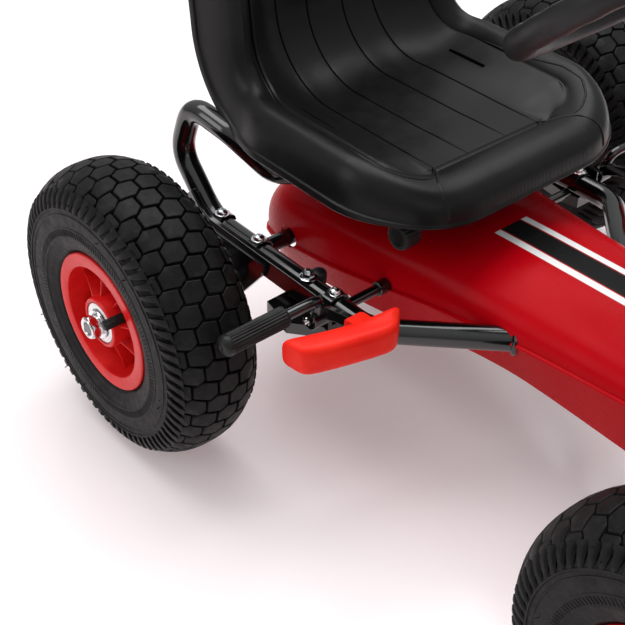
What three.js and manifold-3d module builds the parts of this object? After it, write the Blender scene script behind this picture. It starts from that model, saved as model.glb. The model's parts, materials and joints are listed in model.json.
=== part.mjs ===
// Pedal go kart for a child: tubular side loops on a central beam, a red hull over the chain drive,
// a moulded bucket seat on a slide, four pneumatic wheels, hand-lever tyre brakes on both sides.
// Millimetres, +Z up, the kart faces -Y, its right-hand side is -X. The origin is on the floor,
// at the middle of the outer box.
import * as THREE from 'three';
import { mergeVertices } from 'three/addons/utils/BufferGeometryUtils.js';
import Module from 'manifold-3d';

const wasm = await Module();
wasm.setup();

// ---------------------------------------------------------------- driving dimensions
const gap = 0.3;                  // between pieces that touch
const runningGap = 0.4;           // round a shaft that turns
const wheelRadius = 130;
const tyreWidth = 84;
const rimRadius = 62.5;
const rearAxleY = 343;
const frontAxleY = -193;
const rearTrack = 266;            // wheel centre plane from the kart's middle
const frontTrack = 216;
const axleRadius = 7.5;
const stubRadius = 6;

const beamHalfWidth = 20;
const beamBottom = 96;
const beamTop = 154;
const beamWall = 2.5;
const beamRearY = 322;
const beamFrontY = -432;

const tubeRadius = 10.5;
const railX = 152;
const railZ = 148;
const bendCornerY = 177;
const bendRadius = 38;
const railEndX = 33;              // where a side loop ends beside the beam
const loopReach = 438;            // how far back the loop's middle line goes
const loopTopZ = 238;

const barThickness = 6;
const barInnerX = 163;
const barTopZ = 163;
const barHeight = 19;
const barFrontY = 222;

const crossRodY = 221;
const crossRodZ = 141;
const crossRodRadius = 4.5;

const crankY = -335;
const crankZ = 165;
const crankThrow = 80;
const crankRadius = 7;
const spindleRadius = 6;
const pedalInnerX = 62;
const pedalOuterX = 128;
const chainX = 34;
const chainPitch = 12.7;
const frontTeeth = 18;
const rearTeeth = 12;
const chainHalfHeight = 4;
const chainWidth = 7;

const kingpinX = 162;
const steerArm = 36;
const pitmanArm = 20;
const pitmanY = -172;
const pitmanZ = 188;
const columnTilt = THREE.MathUtils.degToRad(40);
const columnLength = 345;
const columnRadius = 9;
const steeringWheelRadius = 118;
const steeringRimRadius = 11;

const brakePivotY = 214;
const brakePivotZ = 152;
const brakeRodY = 206;
const brakeRodZ = 176;
const brakeRodRadius = 4.5;
const brakeSleeveRadius = 9;

const seatHalfWidth = 153;
const seatFrontY = 150;
const seatPanZ = 250;
const seatBendY = 345;            // where the pan starts to turn up into the back
const seatBendRadius = 75;
const seatBackTilt = THREE.MathUtils.degToRad(82);
const seatTopZ = 548;
const seatThickness = 20;

const hubRadius = 22.4;
const bearingRadius = 18.2;
const bearingWidth = 10.4;
const hubHalfWidth = 38;

const trackTopZ = 202;
const sliderTopZ = 229.4;

// ---------------------------------------------------------------- colours
function paint(colour, roughness, metalness) {
  return new THREE.MeshStandardMaterial({ color: colour, roughness, metalness });
}
const blackPaint = () => paint(0x0b0b0c, 0.25, 0.3);
const redGloss = () => paint(0xc4040f, 0.22, 0.0);
const redRim = () => paint(0xd8202c, 0.35, 0.0);
const rubber = () => paint(0x161616, 0.85, 0.0);
const zinc = () => paint(0xc2c4c6, 0.3, 0.9);
const moulded = () => paint(0x191a1c, 0.45, 0.0);
const orangeRed = () => paint(0xf2381c, 0.45, 0.0);

// ---------------------------------------------------------------- solid helpers
const kart = new THREE.Group();

function add(name, geometry, material) {
  const mesh = new THREE.Mesh(geometry, material);
  mesh.name = name;
  kart.add(mesh);
  return mesh;
}

function toSolid(geometry) {
  const bare = geometry.clone();
  for (const key of Object.keys(bare.attributes)) {
    if (key !== 'position') bare.deleteAttribute(key);
  }
  const merged = mergeVertices(bare, 1e-4);
  const mesh = new wasm.Mesh({
    numProp: 3,
    vertProperties: new Float32Array(merged.attributes.position.array),
    triVerts: new Uint32Array(merged.index.array),
  });
  return new wasm.Manifold(mesh);
}

function toGeometry(solid) {
  const mesh = solid.getMesh();
  const geometry = new THREE.BufferGeometry();
  geometry.setAttribute('position', new THREE.BufferAttribute(mesh.vertProperties, 3));
  geometry.setIndex(new THREE.BufferAttribute(mesh.triVerts, 1));
  geometry.computeVertexNormals();
  return geometry;
}

function join(...geometries) {
  return toGeometry(geometries.map(toSolid).reduce((whole, next) => whole.add(next)));
}

function cut(geometry, ...cutters) {
  return toGeometry(cutters.map(toSolid).reduce((whole, next) => whole.subtract(next), toSolid(geometry)));
}

function mirrored(geometry) {
  const copy = geometry.clone();
  copy.scale(-1, 1, 1);
  const index = copy.index ? copy.index.array : copy.attributes.position.array.map((_, i) => i);
  const count = copy.index ? index.length : copy.attributes.position.count;
  const flipped = [];
  for (let i = 0; i < count; i += 3) flipped.push(index[i], index[i + 2], index[i + 1]);
  copy.setIndex(flipped);
  copy.computeVertexNormals();
  return copy;
}

// Pieces that come in pairs are drawn on the kart's right (-X) and mirrored to its left.
function addPair(name, rightGeometry, material) {
  add(`${name}_right`, rightGeometry, material());
  add(`${name}_left`, mirrored(rightGeometry), material());
}

function box(x0, x1, y0, y1, z0, z1) {
  const geometry = new THREE.BoxGeometry(x1 - x0, y1 - y0, z1 - z0);
  geometry.translate((x0 + x1) / 2, (y0 + y1) / 2, (z0 + z1) / 2);
  return geometry;
}

// A round bar between two points.
function rod(from, to, radius, sides = 12) {
  const a = new THREE.Vector3(...from);
  const b = new THREE.Vector3(...to);
  const along = b.clone().sub(a);
  const geometry = new THREE.CylinderGeometry(radius, radius, along.length(), sides);
  const turn = new THREE.Quaternion().setFromUnitVectors(new THREE.Vector3(0, 1, 0), along.normalize());
  geometry.applyQuaternion(turn);
  const middle = a.add(b).multiplyScalar(0.5);
  geometry.translate(middle.x, middle.y, middle.z);
  return geometry;
}

// A solid of revolution about the X axis; profile points are [x, radius].
function turned(profile, x, y, z, segments = 32) {
  const geometry = new THREE.LatheGeometry(profile.map(([px, r]) => new THREE.Vector2(r, px)), segments);
  geometry.rotateZ(-Math.PI / 2);
  geometry.translate(x, y, z);
  return geometry;
}

// A ring of rectangular section about the X axis.
function ring(x0, x1, inner, outer, y, z, segments = 28) {
  const profile = [[x0, inner], [x1, inner], [x1, outer], [x0, outer], [x0, inner]];
  const geometry = turned(profile, 0, y, z, segments);
  return facingOut(geometry);
}

function facingOut(geometry) {
  const position = geometry.attributes.position;
  const index = geometry.index.array;
  const [a, b, c] = [new THREE.Vector3(), new THREE.Vector3(), new THREE.Vector3()];
  let volume = 0;
  for (let i = 0; i < index.length; i += 3) {
    a.fromBufferAttribute(position, index[i]);
    b.fromBufferAttribute(position, index[i + 1]);
    c.fromBufferAttribute(position, index[i + 2]);
    volume += a.dot(b.cross(c));
  }
  if (volume < 0) {
    for (let i = 0; i < index.length; i += 3) {
      [index[i + 1], index[i + 2]] = [index[i + 2], index[i + 1]];
    }
  }
  geometry.computeVertexNormals();
  return geometry;
}

// A path of straight runs whose corners are rounded; each corner is [x, y, z, radius].
function roundedPath(corners) {
  const path = new THREE.CurvePath();
  const points = corners.map(([x, y, z]) => new THREE.Vector3(x, y, z));
  let start = points[0];
  for (let i = 1; i < points.length - 1; i += 1) {
    const incoming = points[i - 1].clone().sub(points[i]).normalize();
    const outgoing = points[i + 1].clone().sub(points[i]).normalize();
    const half = incoming.angleTo(outgoing) / 2;
    const setback = corners[i][3] / Math.tan(half);
    const enter = points[i].clone().addScaledVector(incoming, setback);
    const leave = points[i].clone().addScaledVector(outgoing, setback);
    path.add(new THREE.LineCurve3(start, enter));
    path.add(new THREE.QuadraticBezierCurve3(enter, points[i], leave));
    start = leave;
  }
  path.add(new THREE.LineCurve3(start, points[points.length - 1]));
  return path;
}

// A round tube along a path.
function tube(path, radius, steps, sides = 12) {
  const section = new THREE.Shape();
  section.absarc(0, 0, radius, 0, Math.PI * 2);
  const options = { steps, curveSegments: sides / 2, bevelEnabled: false, extrudePath: path };
  return new THREE.ExtrudeGeometry(section, options);
}

// A flat plate cut from an outline in the YZ plane, between two X values.
function sidePlate(outline, x0, x1) {
  const shape = new THREE.Shape(outline.map(([y, z]) => new THREE.Vector2(y, z)));
  const geometry = new THREE.ExtrudeGeometry(shape, { depth: x1 - x0, bevelEnabled: false });
  geometry.applyMatrix4(new THREE.Matrix4().set(0, 0, 1, x0, 1, 0, 0, 0, 0, 1, 0, 0, 0, 0, 0, 1));
  return geometry;
}

// A flat plate cut from an outline in the XY plane, between two heights.
function flatPlate(outline, z0, z1) {
  const shape = new THREE.Shape(outline.map(([x, y]) => new THREE.Vector2(x, y)));
  const geometry = new THREE.ExtrudeGeometry(shape, { depth: z1 - z0, bevelEnabled: false });
  geometry.translate(0, 0, z0);
  return geometry;
}

// A solid skinned over sections that all have the same number of points.
function loft(sections) {
  const count = sections[0].length;
  const vertices = sections.flat();
  const index = [];
  for (let s = 0; s < sections.length - 1; s += 1) {
    for (let i = 0; i < count; i += 1) {
      const j = (i + 1) % count;
      const [a, b, c, d] = [s * count + i, s * count + j, (s + 1) * count + j, (s + 1) * count + i];
      index.push(a, b, c, a, c, d);
    }
  }
  for (const s of [0, sections.length - 1]) {
    const middle = new THREE.Vector3();
    for (const [x, y, z] of sections[s]) middle.add(new THREE.Vector3(x, y, z));
    middle.multiplyScalar(1 / count);
    vertices.push([middle.x, middle.y, middle.z]);
    for (let i = 0; i < count; i += 1) {
      const [a, b] = [s * count + i, s * count + ((i + 1) % count)];
      if (s === 0) index.push(b, a, vertices.length - 1);
      else index.push(a, b, vertices.length - 1);
    }
  }
  const geometry = new THREE.BufferGeometry();
  geometry.setAttribute('position', new THREE.BufferAttribute(new Float32Array(vertices.flat()), 3));
  geometry.setIndex(index);
  return facingOut(geometry);
}

// Straight-line reading between stations [y, value, value, ...].
function between(stations, y) {
  const rising = stations[0][0] < stations[stations.length - 1][0] ? stations : [...stations].reverse();
  if (y <= rising[0][0]) return rising[0].slice(1);
  for (let i = 1; i < rising.length; i += 1) {
    if (y <= rising[i][0]) {
      const part = (y - rising[i - 1][0]) / (rising[i][0] - rising[i - 1][0]);
      const smooth = part * part * (3 - 2 * part);
      const before = rising[i - 1].slice(1);
      return rising[i].slice(1).map((value, k) => before[k] + smooth * (value - before[k]));
    }
  }
  return rising[rising.length - 1].slice(1);
}

// ---------------------------------------------------------------- wheels
const halfTyre = tyreWidth / 2;
const beadHalf = 34;
// Tyre section, half of it: [across, radius] from the bead out to the middle of the tread.
const tyreHalfSection = [
  [beadHalf - 2.1, 56.4], [beadHalf - 0.1, rimRadius + 0.8], [halfTyre - 2, 72], [halfTyre, 98],
  [halfTyre - 6, 117], [halfTyre - 20, 127],
];

function tyre(x, y) {
  const outer = tyreHalfSection.map(([across, radius]) => [across, radius]);
  const crown = [[0, wheelRadius]];
  const back = [...tyreHalfSection].reverse().map(([across, radius]) => [-across, radius]);
  const cavity = [[-beadHalf + 9, 56.4], [-halfTyre + 9, 112], [halfTyre - 9, 112], [beadHalf - 9, 56.4]];
  const profile = [...outer, ...crown, ...back, ...cavity, outer[0]];
  return facingOut(turned(profile, x, y, wheelRadius, 24));
}

// A moulded rim: dished web, hub boss with two bearing seats, bead seats and flanges.
function rim(x, y, side) {
  const seatRadius = bearingRadius + gap;
  const bore = 9;
  const out = (value) => value * side;
  const end = hubHalfWidth;
  const shelf = hubHalfWidth - bearingWidth - gap;
  const profile = [
    [out(end), hubRadius], [out(end), seatRadius], [out(shelf), seatRadius], [out(shelf), bore],
    [out(-shelf), bore], [out(-shelf), seatRadius], [out(-end), seatRadius], [out(-end), hubRadius],
    [out(-4), hubRadius], [out(-4), 48], [out(-beadHalf - 3.4), rimRadius],
    [out(-beadHalf - 0.5), rimRadius], [out(-beadHalf + 1.6), 55.5], [out(beadHalf - 1.6), 55.5],
    [out(beadHalf + 0.5), rimRadius], [out(beadHalf + 3.4), rimRadius], [out(beadHalf + 3.4), 50],
    [out(4), 47], [out(4), hubRadius], [out(end), hubRadius],
  ];
  return facingOut(turned(profile, x, y, wheelRadius, 20));
}

function hubNut(x, y, side) {
  const washer = ring(side > 0 ? 0 : -2.5, side > 0 ? 2.5 : 0, stubRadius + gap, 13, 0, 0, 20);
  const nut = new THREE.CylinderGeometry(10.4, 10.4, 9, 6);
  nut.rotateZ(Math.PI / 2);
  nut.translate(side * 6.4, 0, 0);
  const hole = rod([-20, 0, 0], [20, 0, 0], stubRadius + gap, 16);
  const geometry = toGeometry(toSolid(washer).add(toSolid(nut)).subtract(toSolid(hole)));
  geometry.translate(x, y, wheelRadius);
  return geometry;
}

function wheel(name, centreX, axleY, innerBore) {
  const side = Math.sign(centreX);
  add(`tyre_${name}`, tyre(centreX, axleY), rubber());
  add(`rim_${name}`, rim(centreX, axleY, side), redRim());
  const shelf = hubHalfWidth - bearingWidth - gap;
  for (const [place, from] of [['outer', shelf + gap], ['inner', -hubHalfWidth]]) {
    const x0 = centreX + side * from;
    const x1 = x0 + side * bearingWidth;
    const [low, high] = [Math.min(x0, x1), Math.max(x0, x1)];
    const bearing = ring(low, high, innerBore, bearingRadius, axleY, wheelRadius, 16);
    add(`bearing_${place}_${name}`, bearing, zinc());
  }
  add(`hub_nut_${name}`, hubNut(centreX + side * (hubHalfWidth + gap), axleY, side), zinc());
}

wheel('rear_right', -rearTrack, rearAxleY, stubRadius + gap);
wheel('rear_left', rearTrack, rearAxleY, stubRadius + gap);
wheel('front_right', -frontTrack, frontAxleY, stubRadius + gap);
wheel('front_left', frontTrack, frontAxleY, stubRadius + gap);

// ---------------------------------------------------------------- rear axle and its carriers
const axleEnd = rearTrack + 54;
const axleStep = rearTrack - 39;
const rearAxle = facingOut(turned([
  [-axleEnd, 0], [-axleEnd, stubRadius], [-axleStep, stubRadius], [-axleStep, axleRadius],
  [axleStep, axleRadius], [axleStep, stubRadius], [axleEnd, stubRadius], [axleEnd, 0],
], 0, rearAxleY, wheelRadius, 20));
add('rear_axle', rearAxle, blackPaint());

const barOuterX = barInnerX + barThickness;
const carrierBottomZ = 106;
const carrierOutline = [
  [288, barTopZ - 4], [292, 146], [326, carrierBottomZ], [360, carrierBottomZ], [388, 150],
  [388, barTopZ - 4],
];
const carrierInnerX = -barOuterX - gap;
const carrierPlate = sidePlate(carrierOutline, carrierInnerX - 4, carrierInnerX);
const onAxle = (x) => [x, rearAxleY, wheelRadius];
const carrierBoss = rod(onAxle(-barOuterX - 16), onAxle(carrierInnerX), 20, 24);
const carrierBore = rod(onAxle(-barOuterX - 20), onAxle(-barOuterX + 9), axleRadius + runningGap, 20);
addPair('axle_carrier', cut(join(carrierPlate, carrierBoss), carrierBore), blackPaint);

// ---------------------------------------------------------------- chassis
const beamOuter = box(-beamHalfWidth, beamHalfWidth, beamFrontY, beamRearY, beamBottom, beamTop);
const beamInner = box(-beamHalfWidth + beamWall, beamHalfWidth - beamWall, beamFrontY - 1, beamRearY + 1,
  beamBottom + beamWall, beamTop - beamWall);
add('main_beam', cut(beamOuter, beamInner), blackPaint());

// A side loop: from beside the beam out to the rail line, straight back, up over and in to the seat track.
const loopPath = roundedPath([
  [-railEndX, bendCornerY - (railX - railEndX), railZ],
  [-railX, bendCornerY, railZ, bendRadius],
  [-railX, 386, railZ, 60],
  [-railX + 4, loopReach + 2, 196, 30],
  [-railX + 8, loopReach - 14, loopTopZ + 8, 22],
  [-railX + 14, 376, loopTopZ - 2, 26],
  [-120, 340, 207, 24],
  [-68, 318, 197],
]);
addPair('side_loop', tube(loopPath, tubeRadius, 38, 8), blackPaint);

const barBottomZ = barTopZ - barHeight;
const barOutline = [
  [barFrontY, barBottomZ], [377, barBottomZ], [394, 153], [408, 170], [397, 181], [386, 170],
  [370, barTopZ], [barFrontY, barTopZ],
];
addPair('side_bar', sidePlate(barOutline, -barOuterX, -barInnerX), blackPaint);

const crossRodEnds = [-railX + 11, -beamHalfWidth - gap].map((x) => [x, crossRodY, crossRodZ]);
const crossRod = rod(crossRodEnds[0], crossRodEnds[1], crossRodRadius);
addPair('cross_rod', crossRod, blackPaint);

const trackPlate = box(-62, 62, 175, 372, trackTopZ - 5, trackTopZ);
const trackPost = box(-17, 17, 190, 310, beamTop + gap, trackTopZ - 1);
add('seat_track', join(trackPlate, trackPost), blackPaint());

// Front axle halves: a square tube, a web, and the two ears that hold the kingpin.
const frontBeamZ = 139;
const frontBeamHalfSide = 10;
const earGap = 27;
const earThickness = 4;
const earHalfDepth = 14;
const earOutX = -kingpinX - 10;
const webOutX = -kingpinX + 21;
const webInX = -kingpinX + 28;
const kingpinRadius = 5;
const onKingpin = (z) => [-kingpinX, frontAxleY, z];
function frontBeamHalf() {
  const arm = box(webInX - 1, -beamHalfWidth - gap,
    frontAxleY - frontBeamHalfSide, frontAxleY + frontBeamHalfSide,
    frontBeamZ - frontBeamHalfSide, frontBeamZ + frontBeamHalfSide);
  const reach = earGap + earThickness;
  const web = box(webOutX, webInX, frontAxleY - earHalfDepth, frontAxleY + earHalfDepth,
    wheelRadius - reach, wheelRadius + reach);
  const ears = [1, -1].map((end) => {
    const z = wheelRadius + end * (earGap + earThickness / 2);
    return box(earOutX, webOutX + 1, frontAxleY - earHalfDepth, frontAxleY + earHalfDepth,
      z - earThickness / 2, z + earThickness / 2);
  });
  const pin = rod(onKingpin(wheelRadius - reach - 5), onKingpin(wheelRadius + reach + 5), kingpinRadius);
  return join(arm, web, ears[0], ears[1], pin);
}
addPair('front_beam', frontBeamHalf(), blackPaint);

// ---------------------------------------------------------------- steering
// Knuckle: a barrel on the kingpin, a stub axle for the wheel, an arm pointing back to the tie rod.
const knuckleArmZ = wheelRadius + 18;
const tieRodEyeY = frontAxleY + steerArm;
const tieStudRadius = 3.5;
const armEyeRadius = 8;
const onTieStud = (z) => [-kingpinX, tieRodEyeY, z];
function knuckle() {
  const barrel = rod(onKingpin(wheelRadius - earGap + gap), onKingpin(wheelRadius + earGap - gap), 10, 20);
  const stub = rod([-kingpinX - 4, frontAxleY, wheelRadius], [-frontTrack - 54, frontAxleY, wheelRadius],
    stubRadius);
  const arm = box(-kingpinX - 6, -kingpinX + 6, frontAxleY + 4, tieRodEyeY + 2,
    knuckleArmZ - 3, knuckleArmZ + 3);
  const armEnd = rod(onTieStud(knuckleArmZ - 3), onTieStud(knuckleArmZ + 3), armEyeRadius);
  const stud = rod(onTieStud(knuckleArmZ), onTieStud(knuckleArmZ + 16), tieStudRadius);
  const bore = rod(onKingpin(wheelRadius - 60), onKingpin(wheelRadius + 60), kingpinRadius + gap);
  return cut(join(barrel, stub, arm, armEnd, stud), bore);
}
addPair('knuckle', knuckle(), blackPaint);

// The steering column turns about an axis that leans back; its lower end carries the pitman arm.
const columnAxis = new THREE.Vector3(0, Math.sin(columnTilt), Math.cos(columnTilt));
const armAxis = new THREE.Vector3(0, Math.cos(columnTilt), -Math.sin(columnTilt));
const columnFoot = new THREE.Vector3(0, pitmanY, pitmanZ);
function alongColumn(height, reach = 0) {
  return columnFoot.clone().addScaledVector(columnAxis, height).addScaledVector(armAxis, reach).toArray();
}
const eyeLift = 7;
const eyeHalf = 2.5;
const pitmanPinRadius = 3;
const innerEyeRadius = 9.5;
const innerEyeBore = 6;           // wide, so the eye can wander round the pin as the linkage moves
function steeringColumn() {
  const shaft = rod(alongColumn(0), alongColumn(columnLength), columnRadius, 20);
  const foot = rod(alongColumn(-2), alongColumn(2), 12, 20);
  const hub = rod(alongColumn(-2), alongColumn(2), 8, 16);
  hub.translate(0, armAxis.y * pitmanArm, armAxis.z * pitmanArm);
  const armBar = new THREE.BoxGeometry(14, 4, pitmanArm);
  armBar.applyQuaternion(new THREE.Quaternion().setFromUnitVectors(new THREE.Vector3(0, 0, 1), armAxis));
  armBar.translate(...alongColumn(0, pitmanArm / 2));
  const pin = rod(alongColumn(-12, pitmanArm), alongColumn(12, pitmanArm), pitmanPinRadius, 14);
  return join(shaft, foot, hub, armBar, pin);
}
add('steering_column', steeringColumn(), blackPaint());

// A bush on a leg from the beam carries the column.
const bushHeight = 54;
const bushOuter = rod(alongColumn(bushHeight), alongColumn(bushHeight + 30), 15, 20);
const bushLeg = box(-6, 6, -131, -115, beamTop + gap, 238);
const bushBore = rod(alongColumn(-30), alongColumn(140), columnRadius + runningGap, 20);
add('steering_bush', cut(join(bushOuter, bushLeg), bushBore), blackPaint());

// Tie rod: an eye over the knuckle stud, an eye round the pitman pin with room to spare, a bar between.
function tieRod(lift) {
  const eyeCentre = new THREE.Vector3(...alongColumn(lift, pitmanArm));
  const outerEye = rod(onTieStud(knuckleArmZ + 4), onTieStud(knuckleArmZ + 12), armEyeRadius);
  const outerBore = rod(onTieStud(knuckleArmZ), onTieStud(knuckleArmZ + 20), tieStudRadius + 0.5);
  const innerFrom = eyeCentre.clone().addScaledVector(columnAxis, -eyeHalf).toArray();
  const innerTo = eyeCentre.clone().addScaledVector(columnAxis, eyeHalf).toArray();
  const innerEye = rod(innerFrom, innerTo, innerEyeRadius, 20);
  const boreFrom = eyeCentre.clone().addScaledVector(columnAxis, -20).toArray();
  const boreTo = eyeCentre.clone().addScaledVector(columnAxis, 20).toArray();
  const innerBore = rod(boreFrom, boreTo, innerEyeBore, 20);
  const bar = rod([-kingpinX + 5, tieRodEyeY, knuckleArmZ + 8], [-7.5, eyeCentre.y, eyeCentre.z], 2.4, 10);
  return cut(join(outerEye, innerEye, bar), outerBore, innerBore);
}
add('tie_rod_right', tieRod(-eyeLift), blackPaint());
add('tie_rod_left', mirrored(tieRod(eyeLift)), blackPaint());

function steeringWheel() {
  const rimRing = new THREE.TorusGeometry(steeringWheelRadius, steeringRimRadius, 8, 28);
  const hub = new THREE.CylinderGeometry(30, 34, 18, 18);
  hub.rotateX(Math.PI / 2);
  const spokes = [0, Math.PI, Math.PI / 2].map((angle) => {
    const spoke = new THREE.BoxGeometry(steeringWheelRadius - 18, 24, 6);
    spoke.translate((steeringWheelRadius + 8) / 2, 0, 0);
    spoke.rotateZ(angle);
    return spoke;
  });
  const socket = new THREE.CylinderGeometry(columnRadius + gap, columnRadius + gap, 12, 20);
  socket.rotateX(Math.PI / 2);
  socket.translate(0, 0, -7);
  const whole = cut(join(rimRing, hub, ...spokes), socket);
  whole.rotateX(-columnTilt);
  whole.translate(...alongColumn(columnLength + 1));
  return whole;
}
add('steering_wheel', steeringWheel(), moulded());

// ---------------------------------------------------------------- crank, chain and sprockets
const sprocketRadius = (teeth) => chainPitch / (2 * Math.sin(Math.PI / teeth));
const frontPitchRadius = sprocketRadius(frontTeeth);
const rearPitchRadius = sprocketRadius(rearTeeth);

// One bent bar: left pedal spindle, arm, bearing run, arm, right pedal spindle.
function crankBar() {
  const armX = 54;
  const armHalf = 10;
  const web = (side) => {
    const y = crankY + side * crankThrow;
    const armBox = box(armX - 4.5, armX + 4.5, Math.min(y, crankY) - armHalf, Math.max(y, crankY) + armHalf,
      crankZ - armHalf, crankZ + armHalf);
    armBox.scale(side, 1, 1);
    return side < 0 ? facingOutIndexed(armBox) : armBox;
  };
  const spindle = (side) => rod([side * armX, crankY + side * crankThrow, crankZ],
    [side * (pedalOuterX + 3), crankY + side * crankThrow, crankZ], spindleRadius, 16);
  const run = rod([-armX, crankY, crankZ], [armX, crankY, crankZ], crankRadius, 20);
  return join(run, web(1), web(-1), spindle(1), spindle(-1));
}
function facingOutIndexed(geometry) {
  const index = geometry.index.array;
  for (let i = 0; i < index.length; i += 3) [index[i + 1], index[i + 2]] = [index[i + 2], index[i + 1]];
  return geometry;
}
add('crankshaft', crankBar(), blackPaint());

const crankHousing = box(-beamHalfWidth + 1, beamHalfWidth - 1, crankY - 17, crankY + 17,
  beamTop + gap, crankZ + 16);
const crankBore = rod([-30, crankY, crankZ], [30, crankY, crankZ], crankRadius + runningGap, 20);
add('crank_housing', cut(crankHousing, crankBore), blackPaint());

function sprocket(radius, bore, y, z) {
  return ring(chainX - 2, chainX + 2, bore, radius - chainHalfHeight - gap, y, z, 24);
}
add('front_sprocket', sprocket(frontPitchRadius, crankRadius + gap, crankY, crankZ), blackPaint());
add('rear_sprocket', sprocket(rearPitchRadius, axleRadius + gap, rearAxleY, wheelRadius), blackPaint());

// The chain is a closed band round both sprockets.
function chainOutline(offset) {
  const front = new THREE.Vector2(crankY, crankZ);
  const rear = new THREE.Vector2(rearAxleY, wheelRadius);
  const run = rear.clone().sub(front);
  const lean = Math.asin((frontPitchRadius - rearPitchRadius) / run.length());
  const heading = Math.atan2(run.y, run.x);
  const upFront = heading + Math.PI / 2 - lean;
  const downFront = heading - Math.PI / 2 + lean;
  const turns = 14;
  const arc = (centre, radius, from, sweep) => Array.from({ length: turns + 1 }, (_, i) => {
    const angle = from + (i / turns) * sweep;
    return new THREE.Vector2(Math.cos(angle), Math.sin(angle)).multiplyScalar(radius).add(centre);
  });
  return [
    ...arc(front, frontPitchRadius + offset, upFront, 2 * Math.PI - (upFront - downFront)),
    ...arc(rear, rearPitchRadius + offset, downFront, upFront - downFront),
  ];
}
function chainBand() {
  const shape = new THREE.Shape(chainOutline(chainHalfHeight));
  shape.holes.push(new THREE.Path(chainOutline(-chainHalfHeight)));
  const geometry = new THREE.ExtrudeGeometry(shape, { depth: chainWidth, bevelEnabled: false });
  const ontoSide = new THREE.Matrix4().makeBasis(
    new THREE.Vector3(0, 1, 0), new THREE.Vector3(0, 0, 1), new THREE.Vector3(1, 0, 0));
  geometry.applyMatrix4(ontoSide);
  geometry.translate(chainX - chainWidth / 2, 0, 0);
  return geometry;
}
add('chain', chainBand(), zinc());

function pedal(side) {
  const y = crankY + side * crankThrow;
  const middleX = (side * (pedalInnerX + pedalOuterX)) / 2;
  const halfWidth = (pedalOuterX - pedalInnerX) / 2;
  const body = box(middleX - halfWidth, middleX + halfWidth, y - 30, y + 30, crankZ - 11, crankZ + 11);
  const bore = rod([middleX - 60, y, crankZ], [middleX + 60, y, crankZ], spindleRadius + gap, 16);
  return cut(body, bore);
}
add('pedal_left', pedal(1), moulded());
add('pedal_right', pedal(-1), moulded());

// ---------------------------------------------------------------- hull
// Stations from the tail to the nose: Y, half width at the crease, crease height, top height,
// half width of the skirt's lower edge, its height, and how boxy the arch is.
const hullStations = [
  [412, 40, 112, 132, 30, 90, 0.8],
  [404, 72, 112, 148, 58, 82, 0.7],
  [385, 94, 116, 166, 78, 82, 0.55],
  [350, 104, 123, 176, 88, 88, 0.45],
  [300, 104, 130, 180, 90, 96, 0.42],
  [235, 97, 137, 182, 84, 100, 0.5],
  [170, 88, 145, 190, 70, 103, 0.75],
  [86, 80, 152, 193, 60, 104, 0.9],
  [-22, 76, 160, 196, 59, 104, 0.95],
  [-130, 70, 166, 206, 56, 104, 0.95],
  [-193, 62, 168, 214, 52, 104, 0.9],
  [-236, 48, 168, 222, 44, 100, 0.42],
  [-400, 47, 164, 219, 43, 96, 0.42],
  [-436, 38, 156, 200, 34, 97, 0.6],
  [-449, 24, 144, 176, 20, 106, 0.8],
];
const archPoints = 5;
function hullSection(y, inset, drop) {
  const [creaseX, creaseZ, topZ, skirtX, skirtZ, power] = between(hullStations, y);
  const wide = Math.max(creaseX - inset, 4);
  const right = [[-Math.max(skirtX - inset, 3), y, skirtZ - drop], [-wide, y, creaseZ]];
  for (let i = 1; i < archPoints; i += 1) {
    const angle = (i / archPoints) * (Math.PI / 2);
    const x = wide * Math.cos(angle) ** power;
    const z = creaseZ + (topZ - inset - creaseZ) * Math.sin(angle) ** power;
    right.push([-x, y, z]);
  }
  const left = [...right].reverse().map(([x, , z]) => [-x, y, z]);
  return [...right, [0, y, topZ - inset], ...left];
}
// Lengthwise places of the sections: every station, and halfway places on the long stretches.
function hullPlaces(from, to) {
  const places = [];
  hullStations.forEach(([y], i) => {
    places.push(y);
    const next = hullStations[i + 1];
    if (next && y - next[0] > 90) places.push((y + next[0]) / 2);
  });
  return places.filter((y) => y <= from && y >= to);
}
function hullSolid(inset, drop, from, to) {
  return loft(hullPlaces(from, to).map((y) => hullSection(y, inset, drop)));
}
const hullWall = 3;
const hullTailY = 412;
const hullNoseY = -449;
const sidePass = (y, z, radius) => rod([-130, y, z], [130, y, z], radius, 10);
const railPassStart = railEndX * 0.6;
const railPass = [-1, 1].map((side) => rod(
  [side * railPassStart, bendCornerY - (railX - railPassStart), railZ],
  [side * railX, bendCornerY, railZ], tubeRadius + 1.4, 12));
function hull() {
  const outer = hullSolid(0, 0, hullTailY, hullNoseY);
  const inner = hullSolid(hullWall, 20, hullTailY - 8, hullNoseY + 12);
  return cut(outer, inner,
    sidePass(rearAxleY, wheelRadius, axleRadius + 4),
    sidePass(crossRodY, crossRodZ, crossRodRadius + 2),
    railPass[0], railPass[1],
    box(-120, 120, frontAxleY - 14, frontAxleY + 14, 80, frontBeamZ + 14),
    box(-120, 120, tieRodEyeY - 12, tieRodEyeY + 16, 140, 176),
    rod([-70, crankY, crankZ], [70, crankY, crankZ], 18, 12),
    rod(alongColumn(0), alongColumn(160), 18, 12),
    box(-12, 12, -150, -110, 185, 230),
    box(-16, 16, -460, -425, 90, 134),
    box(-21, 21, 186, 314, 150, 230));
}
add('hull', hull(), redGloss());

// ---------------------------------------------------------------- front bumper
const bumperY = -462;
const bumperZ = 118;
const bumperBar = tube(roundedPath([[-140, bumperY + 10, bumperZ], [-112, bumperY, bumperZ, 30],
  [112, bumperY, bumperZ, 30], [140, bumperY + 10, bumperZ]]), 11, 16, 12);
const bumperTongue = box(-14, 14, bumperY, beamFrontY - gap, bumperZ - 9, bumperZ + 9);
add('bumper', join(bumperBar, bumperTongue), blackPaint());

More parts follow.
